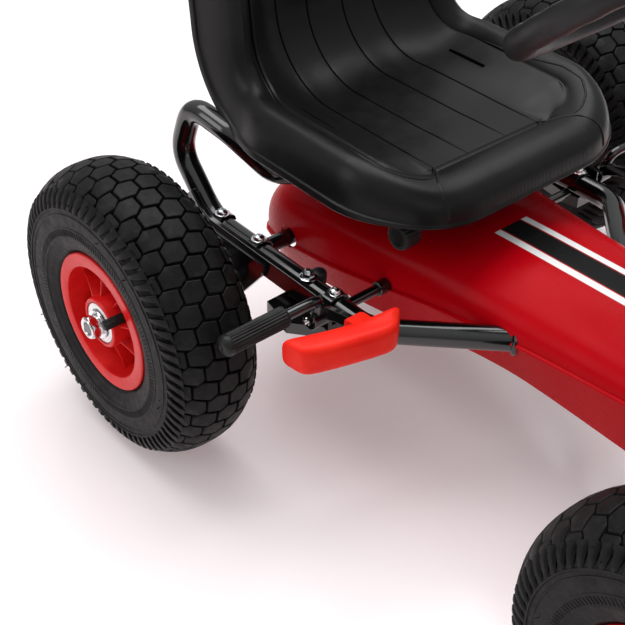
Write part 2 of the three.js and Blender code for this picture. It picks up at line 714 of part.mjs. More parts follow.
// ---------------------------------------------------------------- brake levers
const trayOutline = [[-183, 271], [-150, 272], [-143, 227], [-146, 211], [-167, 211], [-189, 238]];
const trayTopZ = railZ - tubeRadius - gap;
function brakeMount() {
  const outer = flatPlate(trayOutline, trayTopZ - 11, trayTopZ);
  const [centreX, centreY] = [-165, 240];
  const inside = trayOutline.map(([x, y]) => [centreX + (x - centreX) * 0.86, centreY + (y - centreY) * 0.9]);
  const hollow = flatPlate(inside, trayTopZ - 12, trayTopZ - 3);
  const lug = box(-169, -165, brakePivotY - 6, brakePivotY + 7, trayTopZ - 1, brakePivotZ + 8);
  const pin = rod([-187, brakePivotY, brakePivotZ], [-166, brakePivotY, brakePivotZ], 4, 14);
  return toGeometry(toSolid(outer).subtract(toSolid(hollow)).add(toSolid(lug)).add(toSolid(pin)));
}
addPair('brake_mount', brakeMount(), blackPaint);

// The lever: a hub on the pivot, a bent rod out in front of the tyre, a flat arm to the handle.
const sleeveOuterX = -278;
const sleeveInnerX = -216;
function brakeLever() {
  const hub = rod([-185, brakePivotY, brakePivotZ], [-169.5, brakePivotY, brakePivotZ], 9, 20);
  const rodPath = roundedPath([[sleeveOuterX + 4, brakeRodY, brakeRodZ], [-181, brakeRodY, brakeRodZ, 10],
    [-179, brakePivotY - 2, brakePivotZ + 2]]);
  const bent = tube(rodPath, brakeRodRadius, 20, 8);
  const armOutline = [
    [brakePivotY, brakePivotZ - 4], [brakePivotY, brakePivotZ + 8], [brakePivotY - 12, 168],
    [172, 175], [172, 164], [brakePivotY - 12, 156],
  ];
  const arm = sidePlate(armOutline, -178, -172);
  const bore = rod([-200, brakePivotY, brakePivotZ], [-150, brakePivotY, brakePivotZ], 4 + gap, 14);
  return cut(join(hub, bent, arm), bore);
}
addPair('brake_lever', brakeLever(), blackPaint);

const sleeveBore = rod([sleeveOuterX + 3, brakeRodY, brakeRodZ], [sleeveInnerX + 5, brakeRodY, brakeRodZ],
  brakeRodRadius + gap, 12);
const sleeveBody = rod([sleeveOuterX, brakeRodY, brakeRodZ], [sleeveInnerX, brakeRodY, brakeRodZ],
  brakeSleeveRadius, 20);
addPair('brake_sleeve', cut(sleeveBody, sleeveBore), rubber);

// The handle: a rounded bar lying across in front of the lever, with a boss where the arm enters.
function brakeHandle() {
  const from = new THREE.Vector3(-240, 169, 170);
  const to = new THREE.Vector3(-159, 143, 170);
  const sections = [];
  const across = new THREE.Vector3().subVectors(to, from).normalize();
  const out = new THREE.Vector3(across.y, -across.x, 0);
  const sizes = [[0, 0.72], [0.03, 0.94], [0.1, 1], [0.5, 0.94], [0.9, 1], [0.97, 0.94], [1, 0.72]];
  for (const [part, size] of sizes) {
    const middle = from.clone().lerp(to, part);
    const section = [];
    for (let i = 0; i < 16; i += 1) {
      const angle = (i / 16) * Math.PI * 2;
      const wide = 13 * size * Math.sign(Math.cos(angle)) * Math.abs(Math.cos(angle)) ** 0.7;
      const tall = 15 * size * Math.sign(Math.sin(angle)) * Math.abs(Math.sin(angle)) ** 0.7;
      const point = middle.clone().addScaledVector(out, wide);
      section.push([point.x, point.y, point.z + tall]);
    }
    sections.push(section);
  }
  const body = loft(sections);
  const boss = box(-183, -167, 155, 176, 164, 181);
  const slot = box(-178.5, -171.5, 168, 190, 150, 190);
  return cut(join(body, boss), slot);
}
addPair('brake_handle', brakeHandle(), orangeRed);

// ---------------------------------------------------------------- seat
// The middle line of the seat's upper face, at a distance along it from the front edge, and the
// direction out of the cushion there; both in the Y-Z plane.
const panRun = seatBendY - seatFrontY;
const bendRun = seatBendRadius * seatBackTilt;
const bendEndZ = seatPanZ + seatBendRadius * (1 - Math.cos(seatBackTilt));
const seatLength = panRun + bendRun + (seatTopZ - bendEndZ) / Math.sin(seatBackTilt);

function seatSpine(along) {
  if (along <= panRun) {
    return { place: new THREE.Vector2(seatFrontY + along, seatPanZ), normal: new THREE.Vector2(0, 1) };
  }
  const angle = Math.min((along - panRun) / seatBendRadius, seatBackTilt);
  const normal = new THREE.Vector2(-Math.sin(angle), Math.cos(angle));
  const place = new THREE.Vector2(seatBendY, seatPanZ + seatBendRadius);
  place.addScaledVector(normal, -seatBendRadius);
  const beyond = Math.max(along - panRun - bendRun, 0);
  place.addScaledVector(new THREE.Vector2(Math.cos(angle), Math.sin(angle)), beyond);
  return { place, normal };
}

// One section of the shell. The upper face lies at the crown height, the under face at minus the
// thickness, and the side bolsters stand out of the upper face by the wing height.
function seatSection(along, inset, wing, crown = 0, thickness = seatThickness) {
  const { place, normal } = seatSpine(along);
  const w = seatHalfWidth - inset;
  const top = crown + wing;
  const half = [
    [w - 8, -thickness], [w, -thickness + 10], [w, Math.max(top - 14, -thickness + 11)], [w - 9, top],
    [w - 24, top], [w - 36, crown + wing * 0.35], [w - 48, crown],
  ];
  const outline = [
    ...half.map(([x, height]) => [-x, height]), [0, crown], ...half.reverse(), [0, -thickness],
  ];
  return outline.map(([x, height]) => [x, place.x + normal.x * height, place.y + normal.y * height]);
}

function seatBody() {
  const backStart = panRun + bendRun;
  return loft([
    seatSection(0, 62, 1, -6, 18),
    seatSection(4, 40, 3, 1, 19),
    seatSection(14, 20, 8, 6),
    seatSection(35, 6, 18, 7),
    seatSection(56, 0, 26),
    seatSection(140, 0, 32),
    seatSection(panRun - 30, 1, 34),
    seatSection(panRun, 1, 36, 0, 12),
    seatSection(panRun + bendRun / 3, 2, 40, 0, 4),
    seatSection(panRun + (bendRun * 2) / 3, 3, 43),
    seatSection(backStart, 4, 44),
    seatSection(backStart + 85, 8, 40),
    seatSection(backStart + 176, 20, 22),
    seatSection(seatLength - 18, 38, 9, 0, 18),
    seatSection(seatLength, 62, 0, 0, 14),
  ]);
}
add('seat', seatBody(), moulded());

// The slider under the seat runs on the track; its front end carries the adjuster knob.
const slider = box(-55, 55, 184, 352, trackTopZ + gap, sliderTopZ);
const knobY = 195;
const knobZ = 210;
const knobBore = rod([-70, knobY, knobZ], [-30, knobY, knobZ], 4.4, 14);
add('seat_slider', cut(slider, knobBore), blackPaint());

const knobHead = facingOut(turned([
  [-110, 0], [-110, 6], [-106, 10.5], [-101, 12], [-94, 12], [-90, 10], [-89, 4], [-34, 4], [-34, 0],
], 0, knobY, knobZ, 24));
add('seat_knob', knobHead, moulded());

export default kart;
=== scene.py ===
# Pedal go kart: its looks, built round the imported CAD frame.
# Metres, +Z up, the kart faces -Y, its right-hand side is -X, and it stands on Z = 0.
import json
import math
import random

import bmesh
import bpy
from mathutils import Matrix, Vector

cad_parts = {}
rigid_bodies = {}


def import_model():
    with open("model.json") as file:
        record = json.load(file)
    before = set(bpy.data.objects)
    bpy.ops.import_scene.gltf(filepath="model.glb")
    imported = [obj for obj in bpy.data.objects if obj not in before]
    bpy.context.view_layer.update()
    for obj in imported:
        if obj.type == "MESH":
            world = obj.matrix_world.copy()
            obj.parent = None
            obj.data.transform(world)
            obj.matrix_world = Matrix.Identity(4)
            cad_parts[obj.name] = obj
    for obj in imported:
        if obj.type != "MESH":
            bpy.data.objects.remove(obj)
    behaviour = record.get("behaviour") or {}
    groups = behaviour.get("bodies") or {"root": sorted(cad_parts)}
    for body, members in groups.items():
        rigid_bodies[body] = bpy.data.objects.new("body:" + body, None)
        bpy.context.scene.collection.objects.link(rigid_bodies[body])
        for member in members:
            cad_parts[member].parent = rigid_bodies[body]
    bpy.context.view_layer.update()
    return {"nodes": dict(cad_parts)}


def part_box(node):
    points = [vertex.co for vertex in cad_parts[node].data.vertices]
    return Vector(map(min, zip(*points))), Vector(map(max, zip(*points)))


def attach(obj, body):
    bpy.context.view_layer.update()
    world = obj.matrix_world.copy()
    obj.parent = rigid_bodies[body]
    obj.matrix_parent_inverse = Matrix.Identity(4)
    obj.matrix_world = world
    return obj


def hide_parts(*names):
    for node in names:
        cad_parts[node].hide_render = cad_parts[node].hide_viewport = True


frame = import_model()
nodes = frame["nodes"]
MM = 0.001
SIDES = (("right", -1), ("left", 1))

# ------------------------------------------------------------------ driving dimensions, in millimetres
TYRE_RADIUS = 130.0
TREAD_HALF = 35.0
GROOVE_DEPTH = 5.0
ROWS_ROUND = 48
EVEN_ROW = ((-33.3, 2.6), (-20.0, 8.9), (0.0, 8.9), (20.0, 8.9), (33.3, 2.6))   # block centre, half its width
ODD_ROW = ((-28.2, 7.6), (-10.0, 8.9), (10.0, 8.9), (28.2, 7.6))
BLOCK_SKEW = 2.2
GROOVE_WIDTH = 2.5
LUGS_ROUND = 72

RIM_RADIUS = 62.0
RIM_FACE = 37.2
RIM_WELL_RADIUS = 50.0
RIM_RIBS = 8
BOSS_RADIUS = 22.4

TUBE_RADIUS = 10.5
RAIL_X = 152.0
RAIL_Z = 148.0
RAIL_END_X = 33.0
BEND_CORNER_Y = 177.0
LOOP_REACH = 438.0
LOOP_TOP_Z = 238.0
BOLT_PLACES = (374.0, 321.0, 220.0)
RING_BOLT_Y = 253.0

SEAT_FRONT_Y = 150.0
SEAT_HALF_WIDTH = 150.0
SEAT_PAN_Z = 250.0
SEAT_CORNER = 84.0
SEAT_BEND_Y = 345.0
SEAT_BEND_RADIUS = 75.0
SEAT_BACK_TILT = math.radians(82)
SEAT_BACK_LENGTH = 231.0
SEAT_THICKNESS = 20.0

STRIPE_START_Y = 170.0
STRIPE_BLACK_HALF = 11.4
STRIPE_WHITE_FROM = 12.6
STRIPE_WHITE_TO = 19.6


# ------------------------------------------------------------------ materials
def node_input(tree, node, socket, value):
    """Links a socket to a socket, or stores a plain value."""
    if isinstance(value, bpy.types.NodeSocket):
        tree.links.new(value, node.inputs[socket])
    else:
        node.inputs[socket].default_value = value


def add_node(tree, kind, **inputs):
    node = tree.nodes.new(kind)
    for socket, value in inputs.items():
        node_input(tree, node, socket.replace("_", " "), value)
    return node


def arithmetic(tree, operation, first, second=0.0):
    node = tree.nodes.new("ShaderNodeMath")
    node.operation = operation
    node_input(tree, node, 0, first)
    node_input(tree, node, 1, second)
    return node.outputs[0]


def remap(tree, value, low, high, to_low, to_high):
    node = tree.nodes.new("ShaderNodeMapRange")
    for i, item in enumerate((value, low, high, to_low, to_high)):
        node_input(tree, node, i, item)
    return node.outputs[0]


def mix_colours(tree, share, first, second):
    node = tree.nodes.new("ShaderNodeMix")
    node.data_type = "RGBA"
    node_input(tree, node, 0, share)
    for index, colour in ((6, first), (7, second)):
        if not isinstance(colour, bpy.types.NodeSocket):
            colour = (*colour, 1.0)
        node_input(tree, node, index, colour)
    return node.outputs[2]


def noise(tree, place, scale, detail=4.0, stretch=(1, 1, 1), roughness=0.55):
    shift = tree.nodes.new("ShaderNodeMapping")
    node_input(tree, shift, "Vector", place)
    shift.inputs["Scale"].default_value = stretch
    node = add_node(tree, "ShaderNodeTexNoise", Scale=scale, Detail=detail, Roughness=roughness)
    tree.links.new(shift.outputs[0], node.inputs["Vector"])
    return node.outputs["Fac"]


class Finish:
    """A procedural material with mottled colour, uneven gloss and a fine relief."""

    def __init__(self, name, tones, gloss, grain, metallic=0.0, coat=0.0, specular=0.5, mottle=30.0):
        self.material = bpy.data.materials.new(name)
        self.material.use_nodes = True
        self.tree = tree = self.material.node_tree
        self.shader = tree.nodes["Principled BSDF"]
        self.place = tree.nodes.new("ShaderNodeTexCoord").outputs["Object"]
        cloud = noise(tree, self.place, mottle)
        self.colour = mix_colours(tree, remap(tree, cloud, 0.35, 0.65, 0.0, 1.0), tones[0], tones[1])
        smear = noise(tree, self.place, mottle * 2.7, detail=6.0)
        self.roughness = remap(tree, smear, 0.3, 0.7, gloss[0], gloss[1])
        grain_scale, grain_strength, grain_depth = grain
        self.relief = arithmetic(tree, "MULTIPLY", noise(tree, self.place, grain_scale, detail=3.0), grain_strength)
        self.depth = grain_depth
        self.shader.inputs["Metallic"].default_value = metallic
        self.shader.inputs["Coat Weight"].default_value = coat
        self.shader.inputs["Coat Roughness"].default_value = 0.06
        self.shader.inputs["Specular IOR Level"].default_value = specular

    def axis(self, letter):
        split = self.tree.nodes.new("ShaderNodeSeparateXYZ")
        self.tree.links.new(self.place, split.inputs[0])
        return split.outputs["XYZ".index(letter)]

    def done(self):
        tree = self.tree
        bump = add_node(tree, "ShaderNodeBump", Strength=1.0, Distance=self.depth * MM, Height=self.relief)
        tree.links.new(self.colour, self.shader.inputs["Base Color"])
        tree.links.new(self.roughness, self.shader.inputs["Roughness"])
        tree.links.new(bump.outputs[0], self.shader.inputs["Normal"])
        return self.material


def band(tree, value, low, high, soft=0.0002):
    """1 between low and high, 0 outside."""
    rise = remap(tree, value, low - soft, low + soft, 0.0, 1.0)
    fall = remap(tree, value, high - soft, high + soft, 1.0, 0.0)
    return arithmetic(tree, "MULTIPLY", rise, fall)


def hull_finish():
    """Deep red gloss with a white, black and white stripe along the middle of the top."""
    finish = Finish("hull_red", ((0.45, 0.0005, 0.004), (0.51, 0.0010, 0.007)), (0.24, 0.32),
                    (700.0, 1.0, 0.03), specular=0.05, mottle=9.0)
    tree = finish.tree
    across = arithmetic(tree, "ABSOLUTE", finish.axis("X"))
    ahead = remap(tree, finish.axis("Y"), STRIPE_START_Y * MM - 0.0003, STRIPE_START_Y * MM + 0.0003, 1.0, 0.0)
    on_top = remap(tree, finish.axis("Z"), 0.150, 0.151, 0.0, 1.0)
    where = arithmetic(tree, "MULTIPLY", ahead, on_top)
    white = arithmetic(tree, "MULTIPLY", where, band(tree, across, STRIPE_WHITE_FROM * MM, STRIPE_WHITE_TO * MM))
    black = arithmetic(tree, "MULTIPLY", where, band(tree, across, -1.0, STRIPE_BLACK_HALF * MM))
    speck = noise(tree, finish.place, 260.0)
    white_tone = mix_colours(tree, speck, (0.80, 0.80, 0.80), (0.88, 0.88, 0.87))
    black_tone = mix_colours(tree, speck, (0.008, 0.008, 0.009), (0.016, 0.015, 0.015))
    finish.colour = mix_colours(tree, white, finish.colour, white_tone)
    finish.colour = mix_colours(tree, black, finish.colour, black_tone)
    film = arithmetic(tree, "ADD", white, black)
    finish.relief = arithmetic(tree, "ADD", finish.relief, arithmetic(tree, "MULTIPLY", film, 2.0))
    return finish.done()


def seat_finish():
    """Blow-moulded black plastic: a fine grain, and brushed ridges across the front roll."""
    finish = Finish("seat_plastic", ((0.0035, 0.0035, 0.0038), (0.0065, 0.0065, 0.0066)), (0.30, 0.40),
                    (900.0, 0.5, 0.10), specular=0.20, mottle=22.0)
    tree = finish.tree
    ridges = add_node(tree, "ShaderNodeTexWave", Scale=190.0, Distortion=1.6, Detail=3.0)
    ridges.inputs["Detail Scale"].default_value = 1.0
    ridges.wave_type = "BANDS"
    ridges.bands_direction = "X"
    tree.links.new(finish.place, ridges.inputs["Vector"])
    roll = remap(tree, finish.axis("Y"), 0.196, 0.202, 1.0, 0.0)
    middle = band(tree, finish.axis("X"), -0.080, 0.080, 0.004)
    where = arithmetic(tree, "MULTIPLY", roll, middle)
    ridge_relief = arithmetic(tree, "MULTIPLY", ridges.outputs["Fac"], arithmetic(tree, "MULTIPLY", where, 0.9))
    scratches = noise(tree, finish.place, 60.0, detail=8.0, stretch=(12, 0.7, 1))
    finish.relief = arithmetic(tree, "ADD", finish.relief, ridge_relief)
    finish.relief = arithmetic(tree, "ADD", finish.relief, arithmetic(tree, "MULTIPLY", scratches, 0.35))
    finish.colour = mix_colours(tree, remap(tree, scratches, 0.62, 0.74, 0.0, 0.25), finish.colour, (0.020, 0.020, 0.019))
    return finish.done()


def tyre_finish():
    """Black rubber with patches of dust scattered all over it."""
    finish = Finish("tyre_rubber", ((0.0035, 0.0035, 0.0037), (0.0090, 0.0088, 0.0088)), (0.42, 0.58),
                    (520.0, 1.0, 0.22), specular=0.14, mottle=60.0)
    tree = finish.tree
    dust = noise(tree, finish.place, 140.0, detail=8.0)
    finish.colour = mix_colours(tree, remap(tree, dust, 0.55, 0.75, 0.0, 0.4), finish.colour, (0.026, 0.025, 0.024))
    return finish.done()


def brushed_finish(name, tones, gloss, stretch):
    """Bright metal with fine turning marks."""
    finish = Finish(name, tones, gloss, (400.0, 0.5, 0.02), metallic=1.0, mottle=45.0)
    tree = finish.tree
    marks = noise(tree, finish.place, 500.0, detail=2.0, stretch=stretch)
    finish.relief = arithmetic(tree, "ADD", finish.relief, marks)
    return finish.done()


def simple_finish(*facts, **more):
    return Finish(*facts, **more).done()


black_paint = simple_finish("black_paint", ((0.002, 0.002, 0.0022), (0.004, 0.004, 0.0042)), (0.10, 0.18),
                            (650.0, 1.0, 0.035), coat=0.5, mottle=25.0)
hull_red = hull_finish()
rim_red = simple_finish("rim_red", ((0.62, 0.007, 0.008), (0.72, 0.014, 0.012)), (0.28, 0.38),
                        (800.0, 1.0, 0.05), specular=0.22, mottle=55.0)
tyre_rubber = tyre_finish()
zinc = brushed_finish("zinc_plate", ((0.62, 0.62, 0.63), (0.76, 0.76, 0.75)), (0.20, 0.32), (1, 8, 8))
chrome = brushed_finish("chrome_plate", ((0.70, 0.71, 0.72), (0.82, 0.82, 0.83)), (0.08, 0.16), (1, 3, 3))
chain_steel = brushed_finish("chain_steel", ((0.16, 0.15, 0.14), (0.28, 0.27, 0.26)), (0.30, 0.45), (2, 1, 2))
seat_plastic = seat_finish()
moulded_black = simple_finish("moulded_black", ((0.005, 0.005, 0.0055), (0.010, 0.010, 0.0105)), (0.40, 0.52),
                              (1100.0, 1.0, 0.10), specular=0.3, mottle=40.0)
sleeve_rubber = simple_finish("sleeve_rubber", ((0.006, 0.006, 0.006), (0.012, 0.012, 0.0115)), (0.34, 0.46),
                              (700.0, 1.0, 0.08), specular=0.24, mottle=80.0)
handle_red = simple_finish("handle_orange_red", ((0.80, 0.012, 0.005), (0.88, 0.022, 0.009)), (0.34, 0.42),
                           (900.0, 1.0, 0.06), specular=0.14, mottle=35.0)
amber = simple_finish("reflector_amber", ((0.85, 0.22, 0.01), (0.92, 0.30, 0.02)), (0.08, 0.14),
                      (300.0, 1.0, 0.05), coat=0.8, mottle=90.0)
# Painted shade: a black darker and duller than the seat plastic, laid in the seat's slots so they read as shadowed
# recesses.
slot_shade_paint = simple_finish("dark_recess", ((0.002, 0.002, 0.002), (0.004, 0.004, 0.004)), (0.70, 0.85),
                          (600.0, 1.0, 0.10), specular=0.1, mottle=60.0)


# ------------------------------------------------------------------ mesh helpers
def build_mesh(name, points, faces, finish, crease=38.0, scale=MM):
    """A welded mesh with outward faces, smooth but for edges sharper than crease."""
    mesh = bpy.data.meshes.new(name)
    mesh.from_pydata([tuple(c * scale for c in p) for p in points], [], faces)
    work = bmesh.new()
    work.from_mesh(mesh)
    bmesh.ops.remove_doubles(work, verts=work.verts, dist=1e-6)
    bmesh.ops.dissolve_degenerate(work, edges=work.edges, dist=1e-6)
    bmesh.ops.recalc_face_normals(work, faces=work.faces)
    work.to_mesh(mesh)
    work.free()
    mesh.shade_smooth()
    mesh.set_sharp_from_angle(angle=math.radians(crease))
    mesh.materials.append(finish)
    return mesh


def show(name, mesh, body, stands_for=(), matrix=None):
    """Puts a mesh in the scene, riding on a CAD body."""
    piece = bpy.data.objects.new(name, mesh)
    bpy.context.scene.collection.objects.link(piece)
    if matrix is not None:
        piece.matrix_world = matrix
    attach(piece, body)
    if stands_for:
        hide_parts(*stands_for)
    return piece


def round_edges(piece, width, segments=2, angle=30.0):
    """Rounds a piece's edges and keeps its flat faces flat."""
    modifier = piece.modifiers.new("rounded_edges", "BEVEL")
    modifier.width = width * MM
    modifier.segments = segments
    modifier.limit_method = "ANGLE"
    modifier.angle_limit = math.radians(angle)
    modifier.harden_normals = True
    return piece


def merge(*shapes):
    """Joins (points, faces) pairs into one pair."""
    points, faces = [], []
    for more_points, more_faces in shapes:
        start = len(points)
        points.extend(more_points)
        faces.extend([tuple(start + i for i in face) for face in more_faces])
    return points, faces


def moved(shape, matrix):
    points, faces = shape
    return [tuple(matrix @ Vector(p)) for p in points], faces


def turned(profile, segments, start=0.0):
    """A solid of revolution about X; the profile's points are (x, radius)."""
    points, faces = [], []
    for k in range(segments):
        angle = start + 2 * math.pi * k / segments
        points.extend((x, r * math.cos(angle), r * math.sin(angle)) for x, r in profile)
    count = len(profile)
    for k in range(segments):
        a, b = k * count, ((k + 1) % segments) * count
        for i in range(count - 1):
            faces.append((a + i, a + i + 1, b + i + 1, b + i))
    return points, faces


def closed_turned(profile, segments):
    """The same, for a profile that closes on itself away from the axis."""
    return turned([*profile, profile[0]], segments)


def loft(rings, capped=True):
    """Skins rings that all have the same number of points."""
    count = len(rings[0])
    points = [tuple(p) for ring in rings for p in ring]
    faces = []
    for k in range(len(rings) - 1):
        for i in range(count):
            j = (i + 1) % count
            faces.append((k * count + i, k * count + j, (k + 1) * count + j, (k + 1) * count + i))
    if capped:
        faces.append(tuple(reversed(range(count))))
        faces.append(tuple(range((len(rings) - 1) * count, len(rings) * count)))
    return points, faces


def rounded_path(corners, step=4.0):
    """Points along straight runs with rounded corners; each corner is (x, y, z, radius)."""
    places = [Vector(c[:3]) for c in corners]
    runs, start = [], places[0]
    for i in range(1, len(places) - 1):
        arriving = (places[i - 1] - places[i]).normalized()
        leaving = (places[i + 1] - places[i]).normalized()
        setback = corners[i][3] / math.tan(arriving.angle(leaving) / 2)
        enter, leave = places[i] + arriving * setback, places[i] + leaving * setback
        runs.append((start, enter, None))
        runs.append((enter, leave, places[i]))
        start = leave
    runs.append((start, places[-1], None))
    path = [runs[0][0]]
    for begin, end, corner in runs:
        steps = max(1, round((end - begin).length / (step if corner else step * 4)))
        for k in range(1, steps + 1):
            t = k / steps
            if corner is None:
                path.append(begin.lerp(end, t))
            else:
                path.append(begin * (1 - t) ** 2 + corner * (2 * t * (1 - t)) + end * t ** 2)
    return path


def swept(path, radius, sides=24, capped=True):
    """A round bar along a list of points; radius is a number, or a function of the share of its length."""
    rings = []
    normal = None
    for k, point in enumerate(path):
        ahead = path[min(k + 1, len(path) - 1)] - path[max(k - 1, 0)]
        ahead.normalize()
        if normal is None:
            normal = ahead.orthogonal()
        normal = (normal - ahead * normal.dot(ahead)).normalized()
        across = ahead.cross(normal)
        size = radius(k / (len(path) - 1)) if callable(radius) else radius
        ring = []
        for i in range(sides):
            angle = 2 * math.pi * i / sides
            ring.append(point + (normal * math.cos(angle) + across * math.sin(angle)) * size)
        rings.append(ring)
    return loft(rings, capped)


def straight(start, end, radius, sides=24, bevel=0.8):
    """A round bar with softened end edges."""
    start, end = Vector(start), Vector(end)
    along = (end - start).normalized()
    path = [start, start + along * bevel, end - along * bevel, end]
    return swept(path, lambda share: radius - bevel if share in (0.0, 1.0) else radius, sides)


def plate(outline, low, high, plane="YZ"):
    """A flat plate: the outline lies in a plane, the thickness goes from low to high across it."""
    def place(u, v, w):
        return {"YZ": (w, u, v), "XY": (u, v, w), "XZ": (u, w, v)}[plane]
    lower = [place(u, v, low) for u, v in outline]
    upper = [place(u, v, high) for u, v in outline]
    return loft([lower, upper])


def block(low, high):
    (x0, y0, z0), (x1, y1, z1) = low, high
    return plate([(y0, z0), (y1, z0), (y1, z1), (y0, z1)], x0, x1)


def smooth_between(stations, at):
    """Reads (position, value, value, ...) stations along a smooth curve that never overshoots."""
    stations = sorted(stations)
    if at <= stations[0][0]:
        return list(stations[0][1:])
    if at >= stations[-1][0]:
        return list(stations[-1][1:])
    i = max(k for k in range(len(stations) - 1) if stations[k][0] <= at)
    left, right = stations[i], stations[i + 1]
    width = right[0] - left[0]
    t = (at - left[0]) / width
    values = []
    for c in range(1, len(left)):
        rise = (right[c] - left[c]) / width
        slopes = []
        for k in (i, i + 1):
            if k in (0, len(stations) - 1):
                slopes.append(rise)
                continue
            before, here, after = stations[k - 1], stations[k], stations[k + 1]
            first = (here[c] - before[c]) / (here[0] - before[0])
            second = (after[c] - here[c]) / (after[0] - here[0])
            slopes.append(0.0 if first * second <= 0 else 2 * first * second / (first + second))
        h = t * t * (3 - 2 * t)
        value = left[c] * (1 - h) + right[c] * h
        value += width * (t * (1 - t) ** 2 * slopes[0] - t * t * (1 - t) * slopes[1])
        values.append(value)
    return values


def smoothstep(value, low, high):
    t = min(max((value - low) / (high - low), 0.0), 1.0)
    return t * t * (3 - 2 * t)


def middle_of(node):
    """The centre of a CAD node's box, in millimetres."""
    low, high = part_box(node)
    return (low + high) / 2 / MM


def mirrored(shape):
    points, faces = shape
    return [(-x, y, z) for x, y, z in points], [tuple(reversed(face)) for face in faces]


def on_side(shape, sign):
    """Shapes are drawn on the kart's right (-X); the left one is its mirror image."""
    return shape if sign < 0 else mirrored(shape)


# ------------------------------------------------------------------ tyres
def tread_radius(across):
    """The crown of the tread: flat in the middle, round at the shoulders."""
    return TYRE_RADIUS - 13.0 * (abs(across) / 36.0) ** 2.6


def on_tyre(across, along, height):
    """A point on the tread: along is the distance round the crown, height stands out from it."""
    radius = tread_radius(across) + height
    angle = along / TYRE_RADIUS
    return (across, radius * math.cos(angle), radius * math.sin(angle))


# The sidewall from the shoulder down to the bead, as (across, radius).
SIDEWALL = (
    (34.6, 112.8), (37.4, 109.6), (39.5, 105.8), (40.5, 103.6), (41.5, 103.0), (41.5, 101.8), (40.7, 101.2),
    (41.0, 98.4), (41.6, 97.9), (41.6, 97.0), (41.1, 96.4), (41.3, 92.0), (41.2, 87.0), (41.6, 86.4),
    (41.5, 77.6), (40.9, 76.9), (40.2, 73.6), (39.0, 70.4), (37.6, 67.6), (37.4, 66.2), (36.4, 64.8),
    (34.6, 63.4), (33.6, 61.4), (31.8, 58.0),
)


def carcass():
    crown = [(x, tread_radius(x) - GROOVE_DEPTH) for x in range(-32, 33, 4)]
    right = list(SIDEWALL)
    left = [(-x, r) for x, r in reversed(SIDEWALL)]
    hollow = [(24.0, 58.0), (31.0, 100.0), (20.0, 115.0), (-20.0, 115.0), (-31.0, 100.0), (-24.0, 58.0)]
    return closed_turned([*crown, *right, *hollow, *left], 144)


def tread_block(centre, half_wide, along):
    """One brick of tread: a six-sided outline with slanting ends, every edge chamfered."""
    half_long = math.pi * TYRE_RADIUS / ROWS_ROUND - GROOVE_WIDTH / 2
    skew = min(BLOCK_SKEW, 0.4 * half_wide)
    corners = [(-half_wide, skew - half_long), (-0.3 * half_wide, -skew - half_long),
               (half_wide, 0.4 * skew - half_long), (half_wide, half_long - skew),
               (0.2 * half_wide, half_long + skew), (-half_wide, half_long - 0.4 * skew)]
    outline = []
    for k, (u, v) in enumerate(corners):
        next_u, next_v = corners[(k + 1) % len(corners)]
        for share in (0.0, 1 / 3, 2 / 3):
            outline.append((u + (next_u - u) * share, v + (next_v - v) * share))
    points, faces = [], []
    for inset, height in ((-0.5, -GROOVE_DEPTH - 0.8), (0.0, -0.9), (0.15, -0.35), (0.6, 0.0)):
        for u, v in outline:
            u_in = u * (1.0 - inset / half_wide)
            v_in = v * (1.0 - inset / half_long)
            points.append(on_tyre(centre + u_in, along + v_in, height))
    points.append(on_tyre(centre, along, 0.0))
    count = len(outline)
    for level in (0, count, 2 * count):
        for i in range(count):
            j = (i + 1) % count
            faces.append((level + i, level + j, level + count + j, level + count + i))
    for i in range(count):
        faces.append((3 * count + i, 3 * count + (i + 1) % count, 4 * count))
    return points, faces


def shoulder_lug(side, angle):
    """A tapering bar that runs from the tread's edge down the shoulder, slanting as it goes."""
    route = ((35.6, 118.4, 0.3), (38.6, 114.2, 0.2), (40.6, 109.0, 0.1), (41.5, 103.4, 0.0))
    rings = []
    for k, (across, radius, lift) in enumerate(route):
        share = k / (len(route) - 1)
        half = 3.5 - 1.9 * share
        lean = angle + math.radians(3.4) * share
        sunk = 4.0 - 2.6 * share
        ring = []
        for turn, down in ((-1.25, sunk), (-1.0, 0.5), (-0.8, 0.0), (0.8, 0.0), (1.0, 0.5), (1.25, sunk)):
            spot = lean + turn * half / radius
            reach = radius + lift - down
            out = across - 0.35 * down
            ring.append((side * out, reach * math.cos(spot), reach * math.sin(spot)))
        rings.append(ring)
    return loft(rings)


def knurl(side, angle):
    """One short slanting ridge of the plain decorative band on the sidewall."""
    rings = []
    for share in (0.0, 0.5, 1.0):
        radius = 79.2 + 5.6 * share
        spot = angle + math.radians(1.1) * share
        half = 0.45 / radius
        rings.append([
            (side * 41.3, radius * math.cos(spot - half), radius * math.sin(spot - half)),
            (side * 41.95, radius * math.cos(spot), radius * math.sin(spot)),
            (side * 41.3, radius * math.cos(spot + half), radius * math.sin(spot + half)),
        ])
    return loft(rings)


def moulding_hair(side, angle, radius, length):
    """A thin whisker of rubber left by a vent of the mould."""
    across = 41.0 - max(radius - 103.0, 0.0) * 0.35
    root = Vector((side * (across - 1.0), radius * math.cos(angle), radius * math.sin(angle)))
    lean = Vector((side * 0.8, 0.6 * math.cos(angle + 0.3), 0.6 * math.sin(angle + 0.3)))
    return swept([root, root + lean * (length + 1.0)], 0.42, 5)


